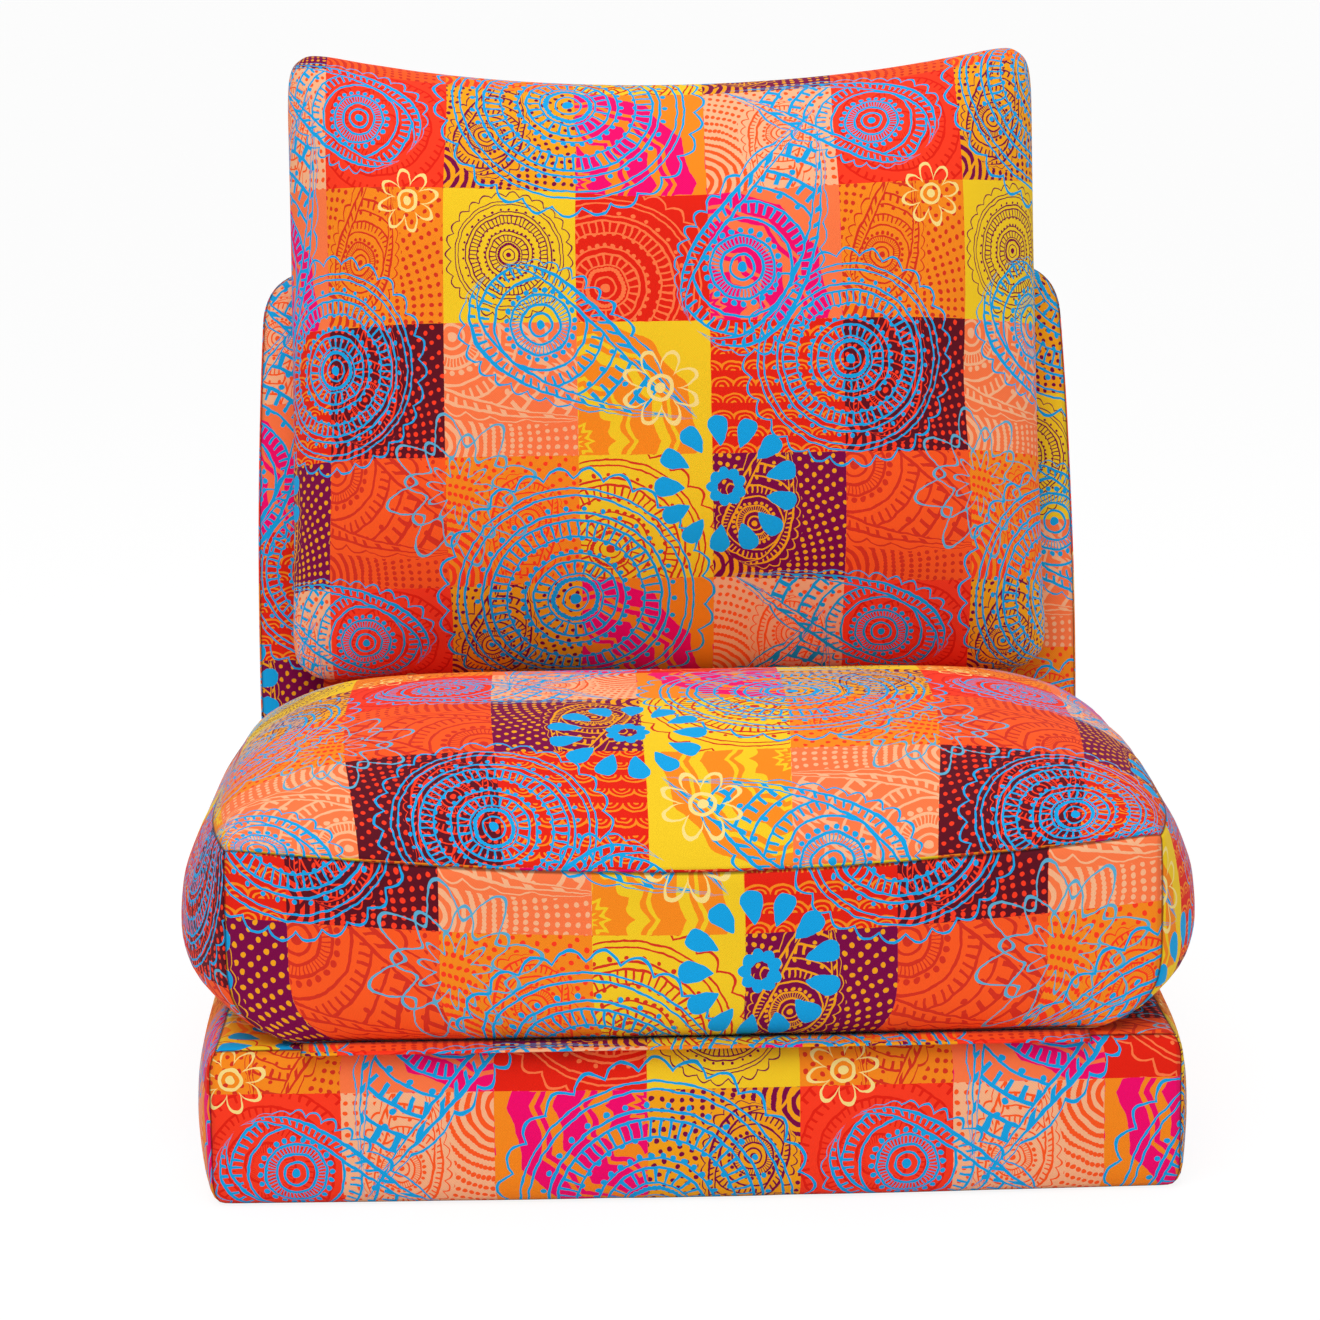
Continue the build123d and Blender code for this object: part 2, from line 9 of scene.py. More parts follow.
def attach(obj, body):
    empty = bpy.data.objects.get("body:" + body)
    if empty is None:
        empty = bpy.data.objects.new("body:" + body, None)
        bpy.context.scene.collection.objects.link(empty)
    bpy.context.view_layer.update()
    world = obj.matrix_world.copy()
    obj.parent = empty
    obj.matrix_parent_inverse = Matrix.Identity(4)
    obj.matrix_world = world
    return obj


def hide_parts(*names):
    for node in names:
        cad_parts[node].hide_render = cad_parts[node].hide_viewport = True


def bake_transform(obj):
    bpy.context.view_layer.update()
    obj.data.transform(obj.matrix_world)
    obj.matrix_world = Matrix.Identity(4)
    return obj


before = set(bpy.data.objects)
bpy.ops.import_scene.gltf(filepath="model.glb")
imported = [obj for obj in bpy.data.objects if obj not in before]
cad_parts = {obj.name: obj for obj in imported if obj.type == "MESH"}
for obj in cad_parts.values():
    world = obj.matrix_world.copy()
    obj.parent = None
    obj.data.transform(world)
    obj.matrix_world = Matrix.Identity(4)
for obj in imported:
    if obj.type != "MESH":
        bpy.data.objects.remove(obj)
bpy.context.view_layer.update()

# Printed cover fabric: polyester canvas with a patchwork of printed squares, from which every cover is
# cut. The print is opaque ink on a plain weave, so it is matt, and its lines waver as a pen does.
MM = 0.001


def linear(code):
    """An sRGB hex colour as linear RGBA."""
    parts = [int(code[i:i + 2], 16) / 255 for i in (1, 3, 5)]
    return tuple(p / 12.92 if p <= 0.04045 else ((p + 0.055) / 1.055) ** 2.4 for p in parts) + (1.0,)


def node(tree, kind, *feeds, stops=None, **settings):
    """Adds one node with its settings; feeds are nodes, sockets or plain values for its inputs in order."""
    kind, _, operation = kind.partition(":")
    made = tree.nodes.new(kind if kind.startswith("Node") else "ShaderNode" + kind)
    if operation:
        made.operation = operation
    for key, value in settings.items():
        setattr(made, key, value)
    for place, colour in stops or ():
        ramp = made.color_ramp
        ramp.interpolation = "CONSTANT"
        stop = ramp.elements[0] if place == 0 else ramp.elements.new(place)
        stop.color = colour
    if stops:
        made.color_ramp.elements.remove(made.color_ramp.elements[-1])
    for socket, feed in zip(made.inputs, feeds):
        if isinstance(feed, bpy.types.Node):
            feed = feed.outputs[0]
        if isinstance(feed, bpy.types.NodeSocket):
            tree.links.new(feed, socket)
        elif feed is not None:
            socket.default_value = feed
    return made


def new_finish(name):
    """A new material, with its node tree and its shader."""
    made = bpy.data.materials.new(name)
    made.use_nodes = True
    return made, made.node_tree, made.node_tree.nodes["Principled BSDF"]


def motif(name):
    """A group for one drawn motif: it takes a place in the motif's own plane and gives its ink."""
    tree = bpy.data.node_groups.new(name, "ShaderNodeTree")
    tree.interface.new_socket("Place", in_out="INPUT", socket_type="NodeSocketVector")
    tree.interface.new_socket("Ink", in_out="OUTPUT", socket_type="NodeSocketFloat")
    place = node(tree, "NodeGroupInput")
    apart = node(tree, "VectorMath:LENGTH", place).outputs["Value"]
    split = node(tree, "SeparateXYZ", place)
    angle = node(tree, "Math:ARCTAN2", split.outputs[1], split.outputs[0])
    turn = node(tree, "Math:DIVIDE", angle, math.tau)
    return tree, place, apart, split.outputs[0], split.outputs[1], turn


def beads(tree, apart, turn, count, rows, size):
    """Round dots, count to a circle, in rows that stand one over the other."""
    along = node(tree, "Math:SUBTRACT", node(tree, "Math:FRACT", node(tree, "Math:MULTIPLY", turn, count)), 0.5)
    along = node(tree, "Math:MULTIPLY", along, node(tree, "Math:MULTIPLY", apart, math.tau / count))
    out = node(tree, "Math:SUBTRACT", node(tree, "Math:FRACT", node(tree, "Math:MULTIPLY", apart, rows)), 0.5)
    out = node(tree, "Math:DIVIDE", out, rows)
    spot = node(tree, "CombineXYZ", along, out)
    return node(tree, "Math:LESS_THAN", node(tree, "VectorMath:LENGTH", spot).outputs["Value"], size)


def most(tree, *inks):
    """The strongest of several inks."""
    found = inks[0]
    for ink in inks[1:]:
        found = node(tree, "Math:MAXIMUM", found, ink)
    return found


def bands(*edges):
    """Constant stops along a radius: r, g and b are three kinds of drawing, from each edge outwards."""
    letters = {"-": (0, 0, 0, 1), "r": (1, 0, 0, 1), "g": (0, 1, 0, 1), "b": (0, 0, 1, 1)}
    return [(edge, letters[mark]) for edge, mark in edges]


# rings, spokes and beads of a medallion of radius 1, with a scalloped edge
tree, place, apart, across, up, turn = motif("drawn medallion")
zones = node(tree, "SeparateColor", node(tree, "ValToRGB", apart, stops=bands(
    (0, "r"), (0.038, "-"), (0.08, "r"), (0.097, "b"), (0.185, "r"), (0.202, "g"), (0.285, "r"), (0.302, "-"),
    (0.34, "r"), (0.357, "b"), (0.47, "r"), (0.487, "g"), (0.585, "r"), (0.602, "-"), (0.64, "r"), (0.657, "b"),
    (0.76, "r"), (0.777, "-"), (0.81, "r"), (0.827, "-"))))
inner_spokes, added_outside, inner_zone, spoke_share = 24, 32, 0.3, 0.29
spoke_count = node(tree, "Math:MULTIPLY_ADD", node(tree, "Math:GREATER_THAN", apart, inner_zone),
                   added_outside, inner_spokes)
spokes = node(tree, "Math:FRACT", node(tree, "Math:MULTIPLY", turn, spoke_count))
spokes = node(tree, "Math:LESS_THAN", spokes, spoke_share)
scallops, scallop_rise, scallop_foot, pen_width = 27, 0.07, 0.89, 0.0105
edge = node(tree, "Math:ABSOLUTE", node(tree, "Math:SINE", node(tree, "Math:MULTIPLY", turn, scallops * math.pi)))
edge = node(tree, "Math:MULTIPLY_ADD", edge, scallop_rise, scallop_foot)
edge = node(tree, "Math:ABSOLUTE", node(tree, "Math:SUBTRACT", apart, edge))
edge = node(tree, "Math:LESS_THAN", edge, pen_width)
bead_rows = beads(tree, apart, turn, count=34, rows=9.5, size=0.019)
ink = most(tree, zones.outputs[0], node(tree, "Math:MULTIPLY", spokes, zones.outputs[1]), edge,
           node(tree, "Math:MULTIPLY", bead_rows, zones.outputs[2]))
node(tree, "NodeGroupOutput", ink)
medallion = tree

# a boteh of length 1: a bent drop with a double outline, an eye and a beaded hem
tree, place, apart, across, up, turn = motif("drawn boteh")
tree.interface.new_socket("Outside", in_out="OUTPUT", socket_type="NodeSocketFloat")
foot_below, tip_bend, taper, belly_width = 0.42, 0.42, 1.05, 0.78
share = node(tree, "Math:ADD", up, foot_below)
share = node(tree, "Math:MINIMUM", node(tree, "Math:MAXIMUM", share, 0.0001), 0.9999)
bow = node(tree, "Math:MULTIPLY", node(tree, "Math:MULTIPLY", share, share), tip_bend)
side = node(tree, "Math:ABSOLUTE", node(tree, "Math:ADD", across, bow))
body = node(tree, "Math:POWER", node(tree, "Math:SUBTRACT", 1, share), taper)
body = node(tree, "Math:MULTIPLY", body, node(tree, "Math:POWER", share, 0.5))
reach = node(tree, "Math:DIVIDE", side, node(tree, "Math:MULTIPLY", body, belly_width))
outline = node(tree, "SeparateColor", node(tree, "ValToRGB", reach, stops=bands(
    (0, "b"), (0.6, "r"), (0.65, "-"), (0.69, "g"), (0.8, "r"), (0.86, "-"))))
eye_place = node(tree, "VectorMath:ADD", place, (0.06, 0.12, 0))
eye_apart = node(tree, "VectorMath:LENGTH", eye_place).outputs["Value"]
eye_split = node(tree, "SeparateXYZ", eye_place)
eye_turn = node(tree, "Math:ARCTAN2", eye_split.outputs[1], eye_split.outputs[0])
eye_turn = node(tree, "Math:DIVIDE", eye_turn, math.tau)
eye = node(tree, "SeparateColor", node(tree, "ValToRGB", eye_apart, stops=bands(
    (0, "r"), (0.018, "-"), (0.04, "r"), (0.052, "-"), (0.075, "r"), (0.087, "g"), (0.12, "r"), (0.132, "b"),
    (0.19, "r"), (0.202, "-"), (0.22, "g"), (0.265, "r"), (0.277, "b"), (0.33, "r"), (0.342, "-"), (0.36, "g"),
    (0.41, "r"), (0.422, "b"), (0.5, "r"), (0.512, "g"), (0.56, "r"), (0.572, "-"))))
tick_count, tick_share = 46, 0.33
ticks = node(tree, "Math:FRACT", node(tree, "Math:MULTIPLY", eye_turn, tick_count))
ticks = node(tree, "Math:LESS_THAN", ticks, tick_share)
bead_rows = beads(tree, eye_apart, eye_turn, count=24, rows=17.0, size=0.012)
eye_ink = most(tree, eye.outputs[0], node(tree, "Math:MULTIPLY", ticks, eye.outputs[1]),
               node(tree, "Math:MULTIPLY", bead_rows, eye.outputs[2]))
scallops, scallop_rise, scallop_foot, pen_width = 23, 0.13, 0.94, 0.022
lace = node(tree, "Math:SINE", node(tree, "Math:MULTIPLY", eye_turn, scallops * math.pi))
lace = node(tree, "Math:MULTIPLY_ADD", node(tree, "Math:ABSOLUTE", lace), scallop_rise, scallop_foot)
lace = node(tree, "Math:ABSOLUTE", node(tree, "Math:SUBTRACT", reach, lace))
lace = node(tree, "Math:LESS_THAN", lace, pen_width)
ink = most(tree, outline.outputs[0], node(tree, "Math:MULTIPLY", eye_ink, outline.outputs[2]), lace,
           node(tree, "Math:MULTIPLY", ticks, outline.outputs[1]))
inside = node(tree, "Math:MULTIPLY", node(tree, "Math:GREATER_THAN", share, 0.001),
              node(tree, "Math:LESS_THAN", share, 0.999))
hem_reach = 1.16
node(tree, "NodeGroupOutput", node(tree, "Math:MULTIPLY", ink, inside),
     node(tree, "Math:GREATER_THAN", reach, hem_reach))
boteh = tree

# a star flower of radius 1: an eye, a ring and eight open petals
tree, place, apart, across, up, turn = motif("drawn star flower")
petals, petal_blunt, petal_length, petal_foot, pen_width = 8, 0.8, 0.5, 0.46, 0.055
petal = node(tree, "Math:ABSOLUTE", node(tree, "Math:SINE", node(tree, "Math:MULTIPLY", turn, petals * math.pi)))
petal = node(tree, "Math:MULTIPLY_ADD", node(tree, "Math:POWER", petal, petal_blunt), petal_length, petal_foot)
petal = node(tree, "Math:ABSOLUTE", node(tree, "Math:SUBTRACT", apart, petal))
petal = node(tree, "Math:LESS_THAN", petal, pen_width)
eye = node(tree, "SeparateColor", node(tree, "ValToRGB", apart, stops=bands(
    (0, "r"), (0.13, "-"), (0.25, "r"), (0.34, "-"))))
node(tree, "NodeGroupOutput", most(tree, petal, eye.outputs[0]))
star_flower = tree

# a ring of drops of radius 1: broad brushed petals that point inwards round a smaller ring of dots
tree, place, apart, across, up, turn = motif("brushed ring of drops")
drop_count, drop_foot, drop_length, drop_width, dots_reach = 13, 0.56, 0.42, 1.35, 0.45
beat = node(tree, "Math:SUBTRACT", node(tree, "Math:FRACT", node(tree, "Math:MULTIPLY", turn, drop_count)), 0.5)
beat = node(tree, "Math:MULTIPLY", node(tree, "Math:ABSOLUTE", beat), 2)
bulge = node(tree, "Math:DIVIDE", node(tree, "Math:SUBTRACT", apart, drop_foot), drop_length)
bulge = node(tree, "Math:MINIMUM", node(tree, "Math:MAXIMUM", bulge, 0.0), 1.0)
full = node(tree, "Math:MULTIPLY", node(tree, "Math:POWER", bulge, 0.7),
            node(tree, "Math:POWER", node(tree, "Math:SUBTRACT", 1, bulge), 0.4))
drops = node(tree, "Math:LESS_THAN", beat, node(tree, "Math:MULTIPLY", full, drop_width))
dots = beads(tree, apart, turn, count=9, rows=2.6, size=0.085)
ring = node(tree, "Math:LESS_THAN", apart, dots_reach)
node(tree, "NodeGroupOutput", most(tree, drops, node(tree, "Math:MULTIPLY", dots, ring)))
drop_ring = tree

# a rosette of radius 1: three looping pen lines
tree, place, apart, across, up, turn = motif("drawn rosette")
loops, pen_width = [], 0.02
for petals, phase, depth, middle in ((8, 0.0, 0.2, 0.74), (8, math.pi, 0.14, 0.55), (11, 0.6, 0.1, 0.3)):
    loop = node(tree, "Math:SINE", node(tree, "Math:MULTIPLY_ADD", turn, petals * math.tau, phase))
    loop = node(tree, "Math:SUBTRACT", apart, node(tree, "Math:MULTIPLY_ADD", loop, depth, middle))
    loops.append(node(tree, "Math:LESS_THAN", node(tree, "Math:ABSOLUTE", loop), pen_width))
node(tree, "NodeGroupOutput", most(tree, *loops))
rosette = tree

square_side = 119 * MM
repeat = 4.0  # squares
pen_waver = 3.5 * MM
printed, tree, shader = new_finish("printed polyester canvas")
cloth = node(tree, "UVMap", uv_map="cloth")
waver = node(tree, "TexNoise", cloth, None, 70.0, 2.0, noise_dimensions="2D")
waver = node(tree, "VectorMath:SUBTRACT", waver.outputs["Color"], (0.5, 0.5, 0.5))
waver = node(tree, "VectorMath:MULTIPLY", waver, (pen_waver, pen_waver, 0))
to_squares = (1 / square_side, 1 / square_side, 0)
drawn = node(tree, "VectorMath:MULTIPLY", node(tree, "VectorMath:ADD", cloth, waver), to_squares)
plain = node(tree, "VectorMath:MULTIPLY", cloth, to_squares)
cell = node(tree, "VectorMath:WRAP", node(tree, "VectorMath:FLOOR", plain), (repeat, repeat, 1.0), (0.0, 0.0, 0.0))
number = node(tree, "VectorMath:DOT_PRODUCT", node(tree, "VectorMath:ADD", cell, (0.25, 0.0625, 0)), (0.0625, 0.25, 0))
number = number.outputs["Value"]
local = node(tree, "VectorMath:SUBTRACT", node(tree, "VectorMath:FRACTION", drawn), (0.5, 0.5, 0))

orange, amber, yellow, vermilion = "#FA8B1A", "#F7A514", "#F6CC22", "#FF3B1E"
red_orange, coral, peach, magenta = "#FF5A1F", "#FF7A45", "#FAB78A", "#F5006C"
plum, burgundy, brick, cream, sky, mist = "#7A0045", "#5C0C1E", "#D8321E", "#FBE08A", "#0FA5E6", "#5DAFD2"
scarlet = "#E8200C"
# ground, line and number of the motif, for the sixteen squares of a repeat, row by row
squares = (
    (amber, plum, 1), (magenta, orange, 4), (peach, red_orange, 9), (vermilion, scarlet, 7),
    (orange, vermilion, 9), (yellow, brick, 2), (plum, amber, 1), (red_orange, brick, 5),
    (coral, peach, 5), (orange, yellow, 4), (scarlet, orange, 3), (burgundy, vermilion, 1),
    (yellow, plum, 6), (scarlet, coral, 2), (magenta, coral, 4), (orange, brick, 1))
places = [index / len(squares) for index in range(len(squares))]
ground = node(tree, "ValToRGB", number, stops=[(p, linear(s[0])) for p, s in zip(places, squares)])
pen = node(tree, "ValToRGB", number, stops=[(p, linear(s[1])) for p, s in zip(places, squares)])
picks = []
for first in (1, 4, 7):
    colours = [tuple(float(s[2] == first + k) for k in range(3)) + (1.0,) for s in squares]
    picks += node(tree, "SeparateColor", node(tree, "ValToRGB", number, stops=list(zip(places, colours)))).outputs[:3]

corner = node(tree, "VectorMath:ADD", local, (0.56, 0.4, 0))
corner_apart = node(tree, "VectorMath:LENGTH", corner).outputs["Value"]
corner_split = node(tree, "SeparateXYZ", corner)
corner_angle = node(tree, "Math:ARCTAN2", corner_split.outputs[1], corner_split.outputs[0])
corner_turn = node(tree, "Math:DIVIDE", corner_angle, math.tau)
dotted_arcs = beads(tree, corner_apart, corner_turn, count=90, rows=15.0, size=0.017)


def lay(group, place):
    """A motif's group laid at a place, which is linked once the group has its sockets."""
    laid = node(tree, "Group", node_tree=group)
    tree.links.new(place.outputs[0], laid.inputs[0])
    return laid


def boteh_fragment(shift, turned_by, size):
    """A boteh that runs past its square's edges, over arcs of dots."""
    laid = lay(boteh, node(tree, "Mapping", local, shift, (0, 0, turned_by), (size, size, 1)))
    return most(tree, laid, node(tree, "Math:MULTIPLY", dotted_arcs, laid.outputs[1]))


# 1 and 9: botehs on the slant, 2: a medallion cut by the square's edge, 3: scales, 4: bold curls round one
# corner, 5: a large boteh's belly, 6: a small medallion, 7: a spiral with ticks, 8: the arcs of dots alone
motif_inks = [boteh_fragment((0.05, 0.02, 0), 0.7, 0.92)]
motif_inks.append(lay(medallion, node(tree, "Mapping", local, (0.32, 0.28, 0), (0, 0, 0), (1.15, 1.15, 1))))
rows = node(tree, "VectorMath:MULTIPLY", local, (6.0, 8.0, 0))
rows_split = node(tree, "SeparateXYZ", rows)
shift = node(tree, "Math:MULTIPLY", node(tree, "Math:FLOOR", rows_split.outputs[1]), 0.5)
across_scale = node(tree, "Math:FRACT", node(tree, "Math:ADD", rows_split.outputs[0], shift))
scale_place = node(tree, "CombineXYZ", across_scale, node(tree, "Math:FRACT", rows_split.outputs[1]))
scale_apart = node(tree, "VectorMath:LENGTH", node(tree, "VectorMath:SUBTRACT", scale_place, (0.5, 0.0, 0)))
motif_inks.append(node(tree, "SeparateColor", node(tree, "ValToRGB", scale_apart.outputs["Value"], stops=bands(
    (0, "r"), (0.12, "-"), (0.26, "r"), (0.34, "-"), (0.48, "r"), (0.6, "-")))))
lobes = node(tree, "Math:ABSOLUTE", node(tree, "Math:SINE", node(tree, "Math:MULTIPLY", corner_angle, 7.0)))
lobed = node(tree, "Math:MULTIPLY_ADD", lobes, 0.05, corner_apart)
motif_inks.append(node(tree, "SeparateColor", node(tree, "ValToRGB", lobed, stops=bands(
    (0, "r"), (0.1, "-"), (0.15, "r"), (0.19, "-"), (0.34, "r"), (0.44, "-"), (0.48, "r"), (0.51, "-"),
    (0.68, "r"), (0.76, "-"), (0.8, "r"), (0.83, "-"), (0.98, "r"), (1.06, "-")))))
motif_inks.append(boteh_fragment((-0.12, 0.2, 0), 2.5, 0.55))
motif_inks.append(lay(medallion, node(tree, "VectorMath:MULTIPLY", local, (2.0, 2.0, 0))))
local_split = node(tree, "SeparateXYZ", local)
local_angle = node(tree, "Math:ARCTAN2", local_split.outputs[1], local_split.outputs[0])
local_turn = node(tree, "Math:DIVIDE", local_angle, math.tau)
local_apart = node(tree, "VectorMath:LENGTH", local).outputs["Value"]
spiral_turns, spiral_pen, tick_count, tick_share, tick_foot = 8.0, 0.14, 52, 0.3, 0.62
spiral = node(tree, "Math:FRACT", node(tree, "Math:MULTIPLY_ADD", local_apart, spiral_turns, local_turn))
tick = node(tree, "Math:FRACT", node(tree, "Math:MULTIPLY", local_turn, tick_count))
tick = node(tree, "Math:MULTIPLY", node(tree, "Math:LESS_THAN", tick, tick_share),
            node(tree, "Math:GREATER_THAN", spiral, tick_foot))
motif_inks.append(most(tree, node(tree, "Math:LESS_THAN", spiral, spiral_pen), tick))
motif_inks.append(dotted_arcs)
motif_inks.append(boteh_fragment((0.02, -0.05, 0), 3.7, 0.95))
drawn_inks = [node(tree, "Math:MULTIPLY", pick, ink) for pick, ink in zip(picks, motif_inks)]
colour = node(tree, "MixRGB", most(tree, *drawn_inks), ground, pen)

# large motifs that cross the squares: group, centre in squares, turn, size in squares, ink
overlays = (
    (rosette, (0.1, 1.75), 0.0, 0.62, mist), (medallion, (0.95, 0.85), 0.3, 1.1, sky),
    (medallion, (3.05, 2.7), 1.1, 0.85, sky), (boteh, (2.5, 3.45), 0.9, 1.9, sky),
    (boteh, (0.75, 2.75), 2.6, 1.75, sky), (boteh, (3.25, 0.75), -0.7, 1.6, sky),
    (drop_ring, (2.1, 1.75), 0.0, 0.55, sky), (star_flower, (1.62, 2.5), 0.0, 0.3, cream),
    (star_flower, (3.72, 3.9), 0.2, 0.24, cream))
half_repeat = repeat / 2
for group, centre, turned_by, size, ink_colour in overlays:
    near = node(tree, "VectorMath:SUBTRACT", drawn, (centre[0], centre[1], 0))
    near = node(tree, "VectorMath:WRAP", near, (half_repeat, half_repeat, 1.0), (-half_repeat, -half_repeat, -1.0))
    near = node(tree, "Mapping", near, (0, 0, 0), (0, 0, turned_by), (1 / size, 1 / size, 1))
    colour = node(tree, "MixRGB", lay(group, near), colour, linear(ink_colour))

# plain weave, 20 threads to the inch in the real cloth, drawn at 2.2 mm so that it shows
thread = 2.2 * MM
threads = node(tree, "VectorMath:MULTIPLY", cloth, (math.tau / thread, math.tau / thread, 0))
warp, weft = node(tree, "SeparateXYZ", threads).outputs[:2]
weave = node(tree, "Math:MULTIPLY", node(tree, "Math:SINE", warp), node(tree, "Math:SINE", weft))
fading = node(tree, "TexNoise", cloth, None, 9.0, 3.0, noise_dimensions="2D")
fading = node(tree, "Math:MULTIPLY_ADD", fading, 0.1, 0.95)
# painted shade of the weave's threads over a slow random fading of the print's tone; the seam's painted shade is
# multiplied in below
painted_shade_and_fading = node(tree, "Math:MULTIPLY_ADD", weave, 0.025, fading)
# the print runs into a seam, which is sunk; painted shade darkens the print beside it in a thin dark line that fades
# out within 2 mm
beside_seam = node(tree, "SeparateXYZ", node(tree, "UVMap", uv_map="seam"))
beside_seam = node(tree, "Math:MINIMUM", beside_seam.outputs[0], beside_seam.outputs[1])
painted_seam_shade = node(tree, "MapRange", beside_seam, 0.5 * MM, 1.9 * MM, 0.3, 1.0, interpolation_type="SMOOTHSTEP")
painted_shade_and_fading = node(tree, "Math:MULTIPLY", painted_shade_and_fading, painted_seam_shade)
drawn_in = node(tree, "MapRange", beside_seam, 0.0, 6 * MM, 0.0, 1.0, interpolation_type="SMOOTHSTEP")
colour = node(tree, "MixRGB", 1.0, colour, node(tree, "CombineXYZ", painted_shade_and_fading, painted_shade_and_fading, painted_shade_and_fading), blend_type="MULTIPLY")
tree.links.new(colour.outputs[0], shader.inputs["Base Color"])
relief = node(tree, "Math:MULTIPLY_ADD", weave, 0.08 * MM, node(tree, "Math:MULTIPLY", drawn_in, 2.5 * MM))
bump = node(tree, "Bump", 0.7, 1.0)
tree.links.new(relief.outputs[0], bump.inputs["Height"])
tree.links.new(bump.outputs[0], shader.inputs["Normal"])
# dry ink and fibre give hardly any gloss
shader.inputs["Roughness"].default_value = 0.8
shader.inputs["Specular IOR Level"].default_value = 0.12
shader.inputs["Sheen Weight"].default_value = 0.02
shader.inputs["Sheen Roughness"].default_value = 0.4


# Base mattress: a block of foam in a boxed cover, cut as a front, rear and two side strips between
# a top and a bottom panel, and sewn inside out so that the seams show as drawn-in lines.
def spread(count, low=-1.0, high=1.0):
    """Evenly spaced stations from low to high."""
    return [low + (high - low) * index / count for index in range(count + 1)]


def blend_of(table, share):
    """A value read from a table of (share, value) pairs, in straight lines from pair to pair."""
    shares, values = zip(*table)
    return float(np.interp(share, shares, values))


def measured(points, origin, flip=False):
    """Print coordinates in metres for one panel: the lengths along its middle row and middle column."""
    rows_count, columns_count = len(points), len(points[0])
    middle_row = points[rows_count // 2]
    middle_column = [row[columns_count // 2] for row in points]
    along = [0.0]
    for index in range(1, columns_count):
        along.append(along[-1] + math.dist(middle_row[index], middle_row[index - 1]) * MM)
    rise = [0.0]
    for index in range(1, rows_count):
        rise.append(rise[-1] + math.dist(middle_column[index], middle_column[index - 1]) * MM)
    half = along[columns_count // 2]
    sign = -1 if flip else 1
    return [[(sign * (along[c] - half) + origin[0], sign * rise[r] + origin[1]) for c in range(columns_count)]
            for r in range(rows_count)]


def beside_edges(grid):
    """How far each point of a panel lies from its side edges and from its ends, in metres."""
    points = np.array(grid) * MM
    found = []
    for axis in (1, 0):
        steps = np.linalg.norm(np.diff(points, axis=axis), axis=2)
        walked = np.insert(np.cumsum(steps, axis=axis), 0, 0.0, axis=axis)
        found.append(np.minimum(walked, np.take(walked, [-1], axis=axis) - walked))
    return np.stack(found, axis=2)


def put(name, data):
    """A new object in the scene."""
    made = bpy.data.objects.new(name, data)
    bpy.context.scene.collection.objects.link(made)
    return made


def sew(name, panels):
    """Joins panels, each a grid of points in mm with its print coordinates, into one closed skin."""
    known, points, faces, face_uvs, face_edges, users = {}, [], [], [], [], {}
    for number_of_panel, (grid, print_grid) in enumerate(panels):
        edges = beside_edges(grid)
        keys = []
        for row in grid:
            keys.append([])
            for point in row:
                key = tuple(round(value, 2) for value in point)
                if key not in known:
                    known[key] = len(points)
                    points.append([value * MM for value in point])
                keys[-1].append(known[key])
                users.setdefault(known[key], set()).add(number_of_panel)
        for r in range(len(grid) - 1):
            for c in range(len(grid[0]) - 1):
                corners = [(r, c), (r, c + 1), (r + 1, c + 1), (r + 1, c)]
                ids = [keys[i][j] for i, j in corners]
                if len(set(ids)) < 3:
                    continue
                if len(set(ids)) == 3:
                    corners = [corner for k, corner in enumerate(corners) if ids[k] != ids[k - 1]]
                    ids = [keys[i][j] for i, j in corners]
                faces.append(ids)
                face_uvs.append([print_grid[i][j] for i, j in corners])
                face_edges.append([edges[i, j] for i, j in corners])
    mesh = bpy.data.meshes.new(name)
    mesh.from_pydata(points, [], faces)
    for layer_name, face_pairs in (("cloth", face_uvs), ("seam", face_edges)):
        layer = mesh.uv_layers.new(name=layer_name)
        layer.data.foreach_set("uv", [value for face in face_pairs for pair in face for value in pair])
    shape = bmesh.new()
    shape.from_mesh(mesh)
    bmesh.ops.recalc_face_normals(shape, faces=shape.faces)
    shape.to_mesh(mesh)
    shape.free()
    piece = put(name, mesh)
    seam = piece.vertex_groups.new(name="seam")
    seam.add([index for index, panel_set in users.items() if len(panel_set) > 1], 1.0, "REPLACE")
    for polygon in mesh.polygons:
        polygon.use_smooth = True
    return piece


